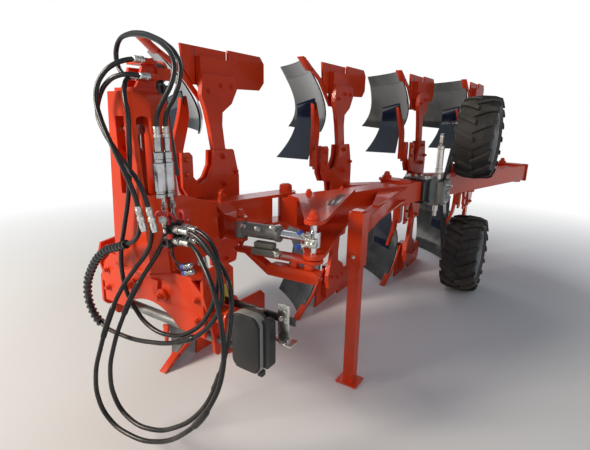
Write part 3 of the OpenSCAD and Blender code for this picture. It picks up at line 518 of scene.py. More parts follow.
def turned(profile, sides=28):
    """A turned part along +Z: its profile is a list of (radius, height) in mm."""
    nothing_selected()
    radius, height = profile[0]
    bpy.ops.mesh.primitive_circle_add(vertices=sides, radius=radius * MM, fill_type="NGON",
                                      location=(0, 0, height * MM))
    piece = settle(bpy.context.object)
    bpy.ops.object.mode_set(mode="EDIT")
    bpy.ops.mesh.select_all(action="SELECT")
    for (r0, z0), (r1, z1) in zip(profile[:-1], profile[1:]):
        bpy.ops.mesh.extrude_region_move(TRANSFORM_OT_translate={"value": (0, 0, (z1 - z0) * MM)})
        bpy.ops.transform.resize(value=(r1 / r0, r1 / r0, 1))
    bpy.ops.mesh.select_all(action="SELECT")
    bpy.ops.mesh.normals_make_consistent(inside=False)
    bpy.ops.object.mode_set(mode="OBJECT")
    return piece


def placing(place, direction=(0, 0, 1), size=1.0):
    """Turns +Z to a direction and moves to a place in mm."""
    return Matrix.Translation(Vector(place) * MM) @ facing(direction) @ Matrix.Scale(size, 4)


def set_at(model, place, direction=(0, 0, 1), size=1.0):
    """A copy of a model with its +Z turned to a direction, at a place in mm."""
    return copy_of(model, placing(place, direction, size))


def many(model, places):
    """Copies of a model, one for each row of place, direction and size."""
    return [set_at(model, *row) for row in places]


def walk(line, distance):
    """Place in mm and direction at a distance in mm along a line."""
    left = distance * MM
    for a, b in zip(line[:-1], line[1:]):
        step = (b - a).length
        if left <= step:
            return (a + (b - a) * (left / step)) / MM, (b - a).normalized()
        left -= step
    return line[-1] / MM, (line[-1] - line[-2]).normalized()


print("turning helpers ready")

# %% Hose ends and joints
FERRULE = [(11, 0), (15.5, 1), (15.5, 14), (12.2, 16), (12.2, 19), (14, 21), (14, 26), (13, 27), (13, 28),
           (14, 29), (14, 34), (13, 35), (13, 36), (14, 37), (14, 43), (12.2, 46), (10.3, 47)]
JOINER = [(10.3, 0), (13, 2), (13, 12), (14.5, 14), (14.5, 34), (12.5, 37), (12.5, 44), (16, 46), (16, 62),
          (12.5, 64), (12.5, 72), (14.5, 75), (14.5, 96), (13, 98), (13, 108), (10.3, 110)]
JOINTS = {"hose_bundle": 765, "hose_loop_front": 800}
ferrule_model = turned(FERRULE)
joiner_model = turned(JOINER)
ferrules = []
for line in hose_lines.values():
    ferrules.append(set_at(ferrule_model, line[0] / MM, line[1] - line[0]))
    ferrules.append(set_at(ferrule_model, line[-1] / MM, line[-2] - line[-1]))
for name, distance in JOINTS.items():
    ferrules.append(set_at(joiner_model, *walk(hose_lines[name], distance)))
print(len(ferrules), "ferrules and joints")
finish_piece(joined(ferrules), "hose_ferrules", "headstock", zinc)
removed(joiner_model)

# %% Ribbed guard and sleeves


def as_mesh(piece):
    """Turn a curve into a mesh."""
    only(piece)
    bpy.ops.object.convert(target="MESH")
    return bpy.context.object


def tube_along(line, radii, resolution=4):
    """A tube through the points of a line, whose radius in mm changes from point to point."""
    curve = round_curve("tube", 1, resolution)
    spline = curve.splines.new("POLY")
    spline.points.add(len(line) - 1)
    for point, place, radius in zip(spline.points, line, radii):
        point.co = (*place, 1)
        point.radius = radius
    return as_mesh(in_scene("tube", curve))


def part_of(line, start, end, step):
    """Points every so many mm between two distances along a line."""
    count = int((end - start) / step)
    return [walk(line, start + (end - start) * k / count)[0] * MM for k in range(count + 1)]


GUARD_START, GUARD_END, GUARD_STEP = 1010, 1620, 6
RIB_R, GROOVE_R = 20.5, 14.5
guard_line = part_of(hose_lines["hose_bundle"], GUARD_START, GUARD_END, GUARD_STEP)
guard_radii = [RIB_R if k % 4 < 2 else GROOVE_R for k in range(len(guard_line))]
finish_piece(tube_along(guard_line, guard_radii), "hose_guard", "headstock", guard_plastic, smooth=25)

SLEEVES = [("hose_loop_front", 1330, 1480, 13.0), ("hose_loop_front", 2380, 2480, 14.0),
           ("hose_bundle", 2130, 2230, 14.0), ("hose_loop_rear", 300, 470, 13.0),
           ("hose_loop_rear", 1500, 1580, 14.0)]
SLEEVE_LIP = 2.5
sleeves = []
for name, start, end, radius in SLEEVES:
    line = part_of(hose_lines[name], start, end, 10)
    radii = [radius - SLEEVE_LIP] + [radius] * (len(line) - 2) + [radius - SLEEVE_LIP]
    sleeves.append(tube_along(line, radii))
finish_piece(joined(sleeves), "hose_sleeves", "headstock", hose_rubber, smooth=50)
print("guard points:", len(guard_line))

for name, piece in hoses.items():
    piece.data.materials.append(hose_rubber)
    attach(piece, "headstock")
    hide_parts(name)
print(len(hoses), "hoses declared")

# %% [markdown]
# Floor, background and light. A pale floor and a pale world keep the attention on the plough. The key light
# is large and stands ahead and to the left, where the low sun stood; the fill is weak. Strengths are set so
# that a colour comes out about as bright as it is written.

# %% Floor
FLOOR_TONE = 0.80
FLOOR_PLACE = (0.3, 1.8, -0.0015)
FADE_CENTRE = (0.3, 1.4, 0.0)
FADE_START, FADE_END = 2.2, 5.5


def floor_finish():
    """A matt pale floor that takes the shadow near the plough and turns plain white further out."""
    material = bpy.data.materials.new("studio_floor")
    material.use_nodes = True
    tree = material.node_tree
    shader = tree.nodes["Principled BSDF"]
    shader.inputs["Base Color"].default_value = (FLOOR_TONE, FLOOR_TONE, FLOOR_TONE, 1.0)
    shader.inputs["Roughness"].default_value = 0.9
    shader.inputs["Specular IOR Level"].default_value = 0.0
    white = add(tree, "Emission")
    place = add(tree, "NewGeometry").outputs["Position"]
    away = add(tree, "VectorMath", "DISTANCE", i0=place, i1=FADE_CENTRE).outputs["Value"]
    rays = add(tree, "LightPath").outputs
    mirrored = math_of(tree, "MAXIMUM", rays["Is Glossy Ray"], rays["Is Transmission Ray"])
    looked_at = math_of(tree, "MAXIMUM", rays["Is Camera Ray"], mirrored)
    share = math_of(tree, "MULTIPLY", ramped(tree, away, FADE_START, FADE_END), looked_at)
    blend = add(tree, "MixShader", i0=share, i1=shader.outputs[0], i2=white.outputs[0])
    tree.links.new(blend.outputs[0], tree.nodes["Material Output"].inputs["Surface"])
    return material


bpy.ops.mesh.primitive_plane_add(size=120, location=FLOOR_PLACE)
floor = bpy.context.object
floor.name = "studio_floor"
floor.data.materials.append(floor_finish())
floor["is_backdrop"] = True
print("floor ready")

# %% Background
WORLD_LIGHT, GLOSS_LIGHT = 0.24, 0.38
SKY_TINT, WHITE = (0.82, 0.90, 1.0, 1.0), (1.0, 1.0, 1.0, 1.0)
world = bpy.data.worlds.new("studio_world")
bpy.context.scene.world = world
world.use_nodes = True
tree = world.node_tree
background = tree.nodes["Background"].inputs
rays = add(tree, "LightPath").outputs
seen = math_of(tree, "MAXIMUM", rays["Is Camera Ray"], rays["Is Transmission Ray"])
glossy = math_of(tree, "MULTIPLY", rays["Is Glossy Ray"], GLOSS_LIGHT)
level = math_of(tree, "MAXIMUM", seen, math_of(tree, "MAXIMUM", glossy, WORLD_LIGHT))
tree.links.new(level, background["Strength"])
tree.links.new(mixed(tree, seen, SKY_TINT, WHITE), background["Color"])
print("world ready")

# %% Lights
TARGET = Vector((0.3, 1.6, 0.8))


def soft_light(name, place, size, power, colour):
    """A square area light that looks at the plough's middle."""
    bpy.ops.object.light_add(type="AREA", location=place)
    light = bpy.context.object
    light.name = name
    light.data.shape = "SQUARE"
    light.data.size = size
    light.data.energy = power
    light.data.color = colour
    light.rotation_euler = (TARGET - Vector(place)).to_track_quat("-Z", "Y").to_euler()


soft_light("key", (-3.6, -4.8, 4.0), 2.0, 520.0, (1.0, 0.91, 0.78))
soft_light("fill", (5.5, -0.5, 3.2), 4.0, 45.0, (0.86, 0.92, 1.0))
soft_light("back", (-2.5, 6.5, 4.0), 4.0, 90.0, (0.95, 0.97, 1.0))
bpy.context.scene.view_settings.view_transform = "Standard"
print("lights ready")

# %% [markdown]
# The boards of a plough body are one twisted sheet: the share cuts flat under the soil and the mouldboard
# curls up and outwards to turn it. Its shape is a formula of how far along (u) and how high up (v) a point
# lies, the same one that the CAD sheet has, so a grid can be laid over it much finer and smoother.

# %% The board's face
LAND_IN = 32.0
GAP = 0.3
MOULD_T = 9.0
MOULD_H = 400.0
MOULD_LEN = 720.0
SKIM_INNER = 0.16


def mould_at(u, v):
    """A point of the mouldboard's face, in mm from the share's tip."""
    angle = math.radians(38 + 12 * u - 6 * v)
    along = MOULD_LEN * (0.80 + 0.50 * v - 0.38 * v * v) * u
    return Vector((
        LAND_IN - GAP - 0.6 * MOULD_T - 110 * v ** 3 - along * math.sin(angle) - 110 * u * v * v,
        120 + 560 * v - 210 * v * v + along * math.cos(angle) * (1 - 0.12 * v * u),
        76 + MOULD_H * v * (1 - 0.06 * u * u)))


def blade_at(u, v):
    """A point of the share's blade, from its cutting edge (v = 0) to the mouldboard's lower edge."""
    return mould_at(u, 0) + Vector((8, -92, -74)) * (1 - v) - Vector((0, 0, GAP)) * v


def skim_at(u, v):
    """A point of the skimmer's face, from its edge up to its curl. Its inner side reaches to the stem."""
    u = u * (1 + SKIM_INNER) - SKIM_INNER
    return Vector((
        -84 + 26 * v - (150 + 60 * v * v) * u - 40 * v * v * u,
        336 - 150 * v * v + 26 * math.sin(math.pi * v) + 26 * u,
        240 + 36 * u + 420 * v * (1 - 0.08 * u)))


print("mouldboard's upper rear corner, mm:", [round(c) for c in mould_at(1, 1)])

# %% Boards over their faces
BOARD_RIM, BOARD_SHARP = 1.5, 50


def thickened(piece, way, rim, sharp):
    """Give a sheet its thickness along a way in mm, and break the edges that turn by more than an angle."""
    only(piece)
    bpy.ops.object.mode_set(mode="EDIT")
    bpy.ops.mesh.select_all(action="SELECT")
    bpy.ops.mesh.extrude_region_move(TRANSFORM_OT_translate={"value": Vector(way) * MM})
    bpy.ops.mesh.select_all(action="SELECT")
    bpy.ops.mesh.normals_make_consistent(inside=False)
    bpy.ops.object.mode_set(mode="OBJECT")
    if rim:
        with_modifier(piece, "BEVEL", width=rim * MM, segments=2, limit_method="ANGLE",
                      angle_limit=math.radians(sharp))
    return piece


def board(face, nu, nv, back):
    """A sheet of even thickness over a face: a grid whose points are laid on the formula."""
    nothing_selected()
    bpy.ops.mesh.primitive_grid_add(x_subdivisions=nu, y_subdivisions=nv, size=2)
    piece = bpy.context.object
    for vertex in piece.data.vertices:
        vertex.co = face((vertex.co.x + 1) / 2, (vertex.co.y + 1) / 2) * MM
    return thickened(piece, back, BOARD_RIM, BOARD_SHARP)


mould_model = board(mould_at, 40, 28, (0.6 * MOULD_T, MOULD_T, 0))
blade_model = board(blade_at, 24, 6, (6, 11, 0))
skim_model = board(skim_at, 20, 28, (2, 9, 0))
print("board models:", [len(m.data.polygons) for m in (mould_model, blade_model, skim_model)])

# %% [markdown]
# Points, shins, stems and many brackets are flame-cut plates: an outline with one thickness and slightly
# broken edges. Such a plate is an outline filled as one face, extruded once and bevelled.

# %% Plates
PLATE_SHARP = 25


def plate(outline, origin, u, v, thickness, rim=1.2):
    """A plate from its outline in mm along u and v, thickened along u x v."""
    u, v = Vector(u), Vector(v)
    mesh = bpy.data.meshes.new("plate")
    corners = [(Vector(origin) + u * a + v * b) * MM for a, b in outline]
    mesh.from_pydata(corners, [], [list(range(len(corners)))])
    return thickened(in_scene("plate", mesh), u.cross(v).normalized() * thickness, rim, PLATE_SHARP)


def side_plate(outline, x, thickness, rim):
    """A plate that stands along the row's direction of travel: outline in y and z, from x on."""
    return plate(outline, (x, 0, 0), (0, 1, 0), (0, 0, 1), thickness, rim)


def front_plate(outline, y, thickness, rim):
    """A plate that faces forwards: outline in x and z, from y forwards."""
    return plate(outline, (0, y, 0), (1, 0, 0), (0, 0, 1), thickness, rim)


def flat_plate(outline, z, thickness, rim):
    """A plate that lies flat: outline in x and y, from z up."""
    return plate(outline, (0, 0, z), (1, 0, 0), (0, 1, 0), thickness, rim)


def rectangle(a0, b0, a1, b1):
    """The outline of a rectangle between two corners."""
    return [[a0, b0], [a1, b0], [a1, b1], [a0, b1]]


def block(low, high, rim):
    """A block between two corners in mm with rounded edges."""
    low, high = Vector(low), Vector(high)
    nothing_selected()
    bpy.ops.mesh.primitive_cube_add(size=1, location=(low + high) / 2 * MM)
    piece = bpy.context.object
    piece.scale = (high - low) * MM
    settle(piece)
    return with_modifier(piece, "BEVEL", width=rim * MM, segments=3)


POINT = [[0, 2], [10, 0], [60, 20], [128, 58], [112, 78]]
SHIN = [[100, 60], [128, 58], [238, 112], [256, 132], [324, 206], [400, 283], [372, 292], [212, 130],
        [112, 78]]
knife_model = joined([side_plate(POINT, -4, 50, 3), side_plate(SHIN, 32, 14, 2)])
print("knife model:", len(knife_model.data.polygons), "faces")

# %% [markdown]
# The skimmer's stem is a forged bar bent like a banana. It is modelled as a block that is subdivided along
# its length and then laid on a smooth curve, each ring of its points taking the place and width the curve
# has there.

# %% Skimmer stem
STEM = [((31, 183, 702), 66), ((31, 183, 640), 68), ((24, 204, 560), 76), ((6, 244, 480), 84),
        ((-22, 292, 415), 82), ((-54, 336, 350), 70), ((-84, 366, 262), 40)]
STEM_T = 26
STEM_ROUNDING = 0.06


def smooth_between(values, t):
    """A value at t = 0..1 on a smooth curve through the values."""
    span = t * (len(values) - 1)
    i = min(int(span), len(values) - 2)
    f = span - i
    a, b, c, d = (Vector(values[max(0, min(len(values) - 1, k))]) for k in (i - 1, i, i + 1, i + 2))
    bend = (2 * a - 5 * b + 4 * c - d) * f * f + (3 * b - a - 3 * c + d) * f ** 3
    return 0.5 * (2 * b + (c - a) * f + bend)


nothing_selected()
bpy.ops.mesh.primitive_cube_add(size=2, location=(0, 0, 0))
stem_model = bpy.context.object
bpy.ops.object.mode_set(mode="EDIT")
bpy.ops.mesh.select_all(action="SELECT")
bpy.ops.mesh.subdivide(number_cuts=23)
bpy.ops.object.mode_set(mode="OBJECT")
for vertex in stem_model.data.vertices:
    t = (1 - vertex.co.z) / 2
    centre = smooth_between([place for place, width in STEM], t)
    width = smooth_between([(width, 0, 0) for place, width in STEM], t).x
    x = vertex.co.x * STEM_T / 2
    y = vertex.co.y * width / 2 * (1 - STEM_ROUNDING * abs(vertex.co.x) ** 8)
    vertex.co = Vector((centre.x + x, centre.y + y, centre.z)) * MM
print("stem model:", len(stem_model.data.polygons), "faces")

# %% [markdown]
# The four bodies stand in a slanting row, 1.02 m apart. Each has a lower half in the soil and an upper half
# that waits for the next pass, mirrored above the beam's middle plane. A model is made once, as the lower
# half at the share's tip, and then copied to both halves of all four.

# %% Boards, blades, points and skimmers in place
SPACING = 1020
ROW_ANGLE = math.radians(17)
ROW_X, ROW_Y = math.sin(ROW_ANGLE), math.cos(ROW_ANGLE)
MID_Z = 0.910
TIPS = [Vector((-190 + SPACING * i * ROW_X, 90 + SPACING * i * ROW_Y, 0)) * MM for i in range(4)]
BODIES = ["frame", "body_2", "body_3", "body_4"]


def upper_and_lower(piece, i):
    """Copies of a lower piece at body i, below and mirrored above the beam's middle plane, as one piece."""
    move = Matrix.Translation(TIPS[i])
    flip = Matrix.Translation((0, 0, 2 * MID_Z)) @ Matrix.Diagonal((1, 1, -1, 1))
    return joined([copy_of(piece, move), copy_of(piece, flip @ move)])


def on_each_body(model, name, material, node=None):
    """Put a model on all four bodies, where it may stand for a node of each, and take the model away."""
    for i, body in enumerate(BODIES):
        piece = finish_piece(upper_and_lower(model, i), f"{name}_{i + 1}", body, material)
        if node:
            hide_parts(f"{node}_{i + 1}")
    removed(model)


on_each_body(mould_model, "mouldboard_sheet", board_steel, "mouldboard")
on_each_body(blade_model, "share_blade", board_steel, "share")
on_each_body(knife_model, "share_point", paint_red, "share")
on_each_body(skim_model, "skimmer_board", board_lacquer, "skimmer")
on_each_body(stem_model, "skimmer_stem", paint_red, "skimmer")
print("share tips, m:", [[round(c, 2) for c in tip] for tip in TIPS])

# %% [markdown]
# Bolts hold a plough together. Hexagon heads on washers carry the frame, and flat square heads sink into
# the landside and the point, where soil slides over them. One model of each is copied to a table of places.

# %% Bolt models
HEX = [(15, 3), (15, 13), (12.6, 15.5)]
WASHER = [(17.5, 0), (18.5, 0.6), (18.5, 2.6), (17.5, 3.2)]
BOLT_END = [(10, 15), (10, 22), (8.6, 23.5)]
X_OUT, Y_OUT, UP_Z, DOWN_Z = (1, 0, 0), (0, -1, 0), (0, 0, 1), (0, 0, -1)
hex_model = joined([turned(HEX, sides=6), turned(WASHER), turned(BOLT_END, sides=20)])
# A square head is 17 mm wide and stands 0.8 mm proud of its plate.
square_model = block((-8.5, -8.5, -3), (8.5, 8.5, 0.8), 0.7)


def bolts(way, rows):
    """Hexagon bolts whose heads look one way, one for each row of x, y, z and size."""
    return [set_at(hex_model, row[:3], way, row[3]) for row in rows]


print("bolt models ready")

# %% Bolts on each plough body
LAND_FACE, LAND_REAR_FACE, LEG_FACE, HEAD_FACE, STEM_FACE = 46.0, 60.3, 115.0, 133.6, 44.3
SQUARE_PLACES = [(LAND_FACE, 300, 112), (LAND_FACE, 452, 112), (LAND_FACE, 560, 112), (LAND_FACE, 392, 96),
                 (LAND_REAR_FACE, 668, 57), (LAND_REAR_FACE, 668, 117), (LAND_REAR_FACE, 668, 152),
                 (LAND_REAR_FACE, 866, 158)]
HEX_PLACES = [(LEG_FACE, 372, 240, 0.8), (LEG_FACE, 470, 205, 0.8), (LEG_FACE, 560, 205, 0.8),
              (HEAD_FACE, 452, 1226, 1.0), (HEAD_FACE, 452, 1072, 1.2), (HEAD_FACE, 556, 1130, 0.9),
              (HEAD_FACE, 168, 1226, 0.8), (HEAD_FACE, 168, 1150, 0.8)]
SKIMMER_PINS = [(STEM_FACE, 183, 668, 0.9), (STEM_FACE, 183, 612, 0.7)]
SEAM_Y = 348
squares = joined(many(square_model, [(place, X_OUT) for place in SQUARE_PLACES]))
on_each_body(squares, "square_bolts", paint_red)
on_each_body(joined(bolts(X_OUT, HEX_PLACES)), "body_bolts", paint_red)
on_each_body(joined(bolts(X_OUT, SKIMMER_PINS)), "skimmer_pins", zinc)
seam = side_plate(rectangle(SEAM_Y - 2, 12, SEAM_Y + 2, 202), 45.6, 0.8, 0)
on_each_body(seam, "landside_seam", plate_dark)
print(len(SQUARE_PLACES) + len(HEX_PLACES) + len(SKIMMER_PINS), "bolts on each half body")

# %% [markdown]
# The middle of the plough sets the width of the first furrow: a cylinder between the turning frame and the
# beam's lever, with a flanged guard plate below it, hose fittings on its barrel and nuts on its pins. These
# pieces follow the cylinder's own direction, so they are modelled along X and then turned as one.

# %% Guard of the front furrow cylinder
CYL_A, CYL_B = Vector((300, 268, 0)), Vector((690, 320, 0))
CYL_WAY = CYL_B - CYL_A
CYL_TURN = Matrix.Translation(CYL_A * MM) @ Matrix.Rotation(math.atan2(CYL_WAY.y, CYL_WAY.x), 4, "Z")


def arc(centre, radius, start, end, steps=10):
    """Points of an arc in degrees, for an outline."""
    angles = [math.radians(start + (end - start) * k / steps) for k in range(steps + 1)]
    return [[centre[0] + radius * math.cos(a), centre[1] + radius * math.sin(a)] for a in angles]


def along_cylinder(pieces):
    """Turn pieces modelled along X from the barrel's pin into place."""
    return moved(joined(pieces), CYL_TURN)


LINK = arc((0, 0), 38, 100, 262) + arc((393, 0), 50, -84, 84)
GUARD_FACE = [[168, 752], [186, 716], [424, 708], [446, 728], [446, 756], [424, 768], [190, 774]]
GUARD_SHELF = [[180, -52], [444, -52], [444, -14], [404, 8], [196, 8]]
GUSSET = [[52, 800], [100, 800], [200, 742], [200, 712], [176, 712]]
NOSE = [(34, 0), (34, 18), (20, 30), (14, 44)]
nose_place = Matrix.Translation((0.410, -0.016, 0.756)) @ Matrix.Rotation(math.pi, 4, "X")
guard = [flat_plate(LINK, 796, 14, 2), front_plate(GUARD_FACE, -50, 12, 2),
         flat_plate(GUARD_SHELF, 754, 12, 2), moved(turned(NOSE, sides=6), nose_place),
         block((300, -48, 762), (330, -14, 798), 5), block((368, -48, 762), (410, -8, 798), 8)]
guard += [front_plate(GUSSET, y, 10, 2) for y in (-40, 0)]
finish_piece(along_cylinder(guard), "cylinder_guard", "width_barrel", paint_red)
print("cylinder turned by %.1f degrees" % math.degrees(math.atan2(CYL_WAY.y, CYL_WAY.x)))

# %% Fittings of the front furrow cylinder
ELBOW = [(13, 0), (13, 12), (9, 14), (9, 30), (14, 31), (14, 45), (11, 47)]
BEAD = [(12, 0), (19, 5), (21, 14), (21, 30), (17, 38), (10, 41)]
CAP = [(12.5, 0), (12.5, 15), (11, 18), (7, 19)]
elbow_model, cap_model = turned(ELBOW), turned(CAP)
valve = [block((98, -66, 809), (224, -14, 842), 5), block((108, -60, 844), (212, -18, 871), 5)]
finish_piece(along_cylinder(valve), "cylinder_valve", "width_barrel", olive_block)
elbows = many(elbow_model, [
    ((196, -20, 934), (0.2, -0.8, 0.5), 0.9), ((120, -30, 926), (0.1, -0.9, 0.4), 0.8),
    ((40, -26, 930), (-0.2, -0.9, 0.3), 0.8)])
elbows.append(moved(turned(BEAD), placing((244, -62, 832), (0.1, -1, 0.1), 0.8)))
elbows.append(block((214, -66, 822), (260, -57, 842), 3))
finish_piece(along_cylinder(elbows), "cylinder_fittings", "width_barrel", zinc)

manifold = [block((688, 238, 893), (744, 268, 934), 4), block((680, 264, 900), (704, 297, 924), 3)]
manifold += many(elbow_model, [
    ((700, 246, 925), (-0.62, -0.2, 0.62), 0.85), ((716, 244, 928), (-0.1, -0.45, 0.8), 0.85),
    ((706, 242, 905), (-0.5, -0.8, -0.1), 0.85), ((736, 242, 912), (0.4, -0.8, 0.2), 0.85)])
finish_piece(joined(manifold), "lever_fittings", "width_rod", zinc)
caps = many(cap_model, [((675, 238, 950), (-0.62, -0.2, 0.62)), ((684, 207, 901), (-0.5, -0.8, -0.1))])
finish_piece(joined(caps), "cylinder_caps", "width_rod", cap_blue)
removed(elbow_model)
print("front furrow cylinder dressed")

# %% Nuts and domes on the main pins
PIVOT = (180, 845)
PIVOT_TOP, PIVOT_LOW = 1029, 791
BODY_PIN_TOP, BODY_PIN_LOW = 1023, 797
LEVER_TOP = 1003
BEAM_END = 3172
DOME = [(39, 0), (39, 10), (33, 17), (22, 22), (10, 24)]
CASTLE = [(27, 0), (27, 20), (20, 24), (20, 32), (16, 34)]
dome_model, castle_model = turned(DOME, sides=36), turned(CASTLE, sides=6)


def along_beam(s, t, z):
    """A place in mm from its distance along the beam, to its side and its height."""
    return (PIVOT[0] + s * ROW_X + t * ROW_Y, PIVOT[1] + s * ROW_Y - t * ROW_X, z)


frame_nuts = [set_at(dome_model, along_beam(0, 0, PIVOT_TOP)),
              set_at(castle_model, along_beam(0, 0, PIVOT_LOW), DOWN_Z)]
frame_nuts += bolts(UP_Z, [(*CYL_A.xy, 976, 1.3)]) + bolts(DOWN_Z, [(*CYL_A.xy, 844, 1.0)])
frame_nuts += bolts(Y_OUT, [(x, 259.5, z, 1.0) for x in (150, -70) for z in (960, 860)])
finish_piece(joined(frame_nuts), "frame_nuts", "frame", paint_red)

beam_nuts = [set_at(castle_model, along_beam(SPACING * k, 0, z), way, 0.9)
             for k in (1, 2, 3) for z, way in ((BODY_PIN_TOP, UP_Z), (BODY_PIN_LOW, DOWN_Z))]
beam_nuts += bolts(UP_Z, [
    (*CYL_B.xy, LEVER_TOP, 1.7), (620, 430, LEVER_TOP, 0.9), (*along_beam(330, 170, LEVER_TOP), 0.9),
    (*along_beam(60, 150, LEVER_TOP), 1.2)])
beam_nuts += bolts((ROW_X, ROW_Y, 0), [
    (*along_beam(BEAM_END, t, z), 1.0) for t in (74, 206) for z in (846, 974)])
print(len(frame_nuts) + len(beam_nuts), "pin nuts placed")
finish_piece(joined(beam_nuts), "beam_nuts", "beam", paint_red)
removed(dome_model, castle_model)

# %% [markdown]
# Plates that meet are welded. A weld bead is a thin tube in the corner between two plates, sunk into both,
# and it swells and shrinks every few millimetres with the steps of the welder's hand.

# %% Weld beads
BEAD_R, BEAD_WAIST, BEAD_STEP = 5.0, 0.78, 4
BEAM_TOP, TOWER_FOOT_Z = 986, 758
TOWER_FOOT = [(-188, -12), (-188, -92), (-129, -151), (129, -151), (188, -92), (188, -12)]


def weld(corners):
    """A weld bead along a path of corners in mm."""
    line = [Vector(corner) * MM for corner in corners]
    points = part_of(line, 0, length_of(line) / MM, BEAD_STEP)
    radii = [BEAD_R if k % 2 else BEAD_R * BEAD_WAIST for k in range(len(points))]
    return tube_along(points, radii, resolution=1)


beam_welds = [weld([along_beam(s, 216, 963) for s in (640, 980)]),
              weld([along_beam(s, t, BEAM_TOP) for s, t in ((422, 203), (382, 138), (100, 119))])]
for k in (1, 2, 3):
    collar = arc((SPACING * k, 140), 73, 0, 180, 12)
    beam_welds.append(weld([along_beam(s, t, BEAM_TOP) for s, t in collar]))
finish_piece(joined(beam_welds), "beam_welds", "beam", paint_red)
finish_piece(weld([(x, y, TOWER_FOOT_Z) for x, y in TOWER_FOOT]), "tower_weld", "headstock", paint_red)
print("welds made")

# %% Bare label places
LEVER_EDGE, LEVER_SIDE = Vector((-0.2727, 0.962, 0)), (-0.962, -0.2727, 0)
label_corner = Vector((708, 388, 1003.1)) + 270 * LEVER_EDGE
lever_label = plate(rectangle(0, 0, 350, 50), label_corner, LEVER_EDGE, LEVER_SIDE, -0.9, 0.3)
finish_piece(lever_label, "lever_label_place", "beam", plate_dark)
cheek_label = side_plate([[36, 624], [98, 612], [98, 706], [36, 706]], 382.6, 0.9, 0.3)
finish_piece(cheek_label, "cheek_label_place", "headstock", plate_yellow)
print("label places made")

# %% [markdown]
# The depth wheels turn on a cast bracket that is clamped round the beam. The casting has a second cheek
# outside the wheel arms, a spindle in a sleeve sets the depth, and a dark clamp ring with four bolts stands
# ahead of it.

# %% Wheel bracket
CHEEK = [[1990, 800], [2186, 800], [2200, 830], [2200, 960], [2180, 990], [2030, 990], [1990, 950]]
cheek = [side_plate(CHEEK, 863, 20, 5), block((822, 1992, 808), (866, 2034, 982), 8),
         side_plate(rectangle(2040, 880, 2160, 910), 883, 8, 3)]
finish_piece(joined(cheek), "bracket_cheek", "beam", casting)

RING_START, RING_END = 1172, 1256
ROW_TURN = (Matrix.Translation(Vector((*PIVOT, 0)) * MM)
            @ Matrix.Rotation(math.radians(90) - ROW_ANGLE, 4, "Z"))
ring = [block((RING_START, *low), (RING_END, *high), 4) for low, high in (
    ((-248, 985.6), (-50, 1006)), ((-248, 814), (-50, 834.4)),
    ((-238, 820), (-215.6, 1000)), ((-64.4, 820), (-44, 1000)))]
finish_piece(moved(joined(ring), ROW_TURN), "beam_clamp_ring", "beam", black_paint)

clamp_bolts = bolts(UP_Z, [(*along_beam(s, t, 1006), 0.9) for s in (1192, 1236) for t in (233, 60)])
clamp_bolts += bolts(UP_Z, [(*along_beam(s, t, 999), 0.9) for s in (1285, 1375) for t in (90, 190)])
clamp_bolts += bolts(X_OUT, [(883, 2130, 940, 1.1), (883, 2130, 850, 1.1), (883, 2020, 960, 0.8),
                             (883, 2020, 826, 0.8)])
finish_piece(joined(clamp_bolts), "bracket_bolts", "beam", zinc)
SLEEVE = [(21, 1040), (27, 1044), (27, 1078), (24, 1082), (24, 1226), (27, 1230), (27, 1250), (20, 1254)]
sleeve = moved(turned(SLEEVE), Matrix.Translation((0.812, 2.056, 0)))
finish_piece(sleeve, "spindle_sleeve", "beam", zinc)
print("wheel bracket dressed")

# %% Hubs and wheel nuts
HUB = [(58, 0), (58, 34), (50, 44), (34, 46), (34, 66), (24, 74)]
AXLE_Y = 2400
for name, height in (("upper", 1310), ("lower", 330)):
    hub = moved(turned(HUB, sides=36), placing((1030, AXLE_Y, height), X_OUT))
    finish_piece(hub, f"{name}_hub", f"{name}_wheel", black_paint)
    nut_circle = arc((AXLE_Y, height), 100, 0, 300, 5)
    nuts = joined(bolts(X_OUT, [(1026, y, z, 0.7) for y, z in nut_circle]))
    finish_piece(nuts, f"{name}_wheel_nuts", f"{name}_wheel", zinc)
print("hubs placed")

# %% [markdown]
# The headstock carries the smallest fittings: the coupler rack with its caps, hooks and knob, check valves,
# linch pins and the lower hook. Rods that are bent from wire are curves with a round bevel, made into
# meshes.

# %% Bent rods and rings


def bent_rod(points, radius):
    """A round rod through points in mm, with smooth bends."""
    return as_mesh(smooth_curve("rod", points, radius))


def ring_of(place, axis, radius, thickness):
    """A closed wire ring round an axis."""
    nothing_selected()
    bpy.ops.mesh.primitive_torus_add(major_radius=radius * MM, minor_radius=thickness * MM,
                                     major_segments=28, minor_segments=10)
    return moved(bpy.context.object, Matrix.Translation(Vector(place) * MM) @ facing(axis))


print("rods and rings ready")

# %% Coupler rack, hooks and caps
RACK_PLACES = [(268, y, z) for y in (-118, -74) for z in (935, 985)]
COLLAR = [(14.5, 0), (18, 2), (18, 9), (17, 10), (18, 11), (18, 18), (17, 19), (18, 20), (18, 26),
          (14.5, 28)]
KNOB = [(6, 0), (6, 10), (14, 14), (18, 22), (18, 30), (13, 38), (5, 41)]
collar_model = turned(COLLAR)
collars = many(collar_model, [(place, X_OUT) for place in RACK_PLACES])
finish_piece(joined(collars), "coupler_collars", "headstock", zinc)
hooks = [
    bent_rod([(240, -128, 1004), (240, -134, 1030), (232, -146, 1052), (212, -154, 1058),
              (196, -150, 1044)], 9),
    bent_rod([(240, -66, 1004), (242, -66, 1032), (254, -72, 1054), (276, -80, 1058), (292, -84, 1042),
              (290, -86, 1024)], 9),
    bent_rod([(240, -96, 1006), (238, -100, 1034), (226, -112, 1050)], 7)]
hooks += many(cap_model, [((270, -146, 962), (0.4, -0.9, 0.1), 0.95),
                          ((276, -52, 1008), (0.8, 0.2, 0.6), 0.8)])
finish_piece(joined(hooks), "coupler_hooks", "headstock", cap_red)
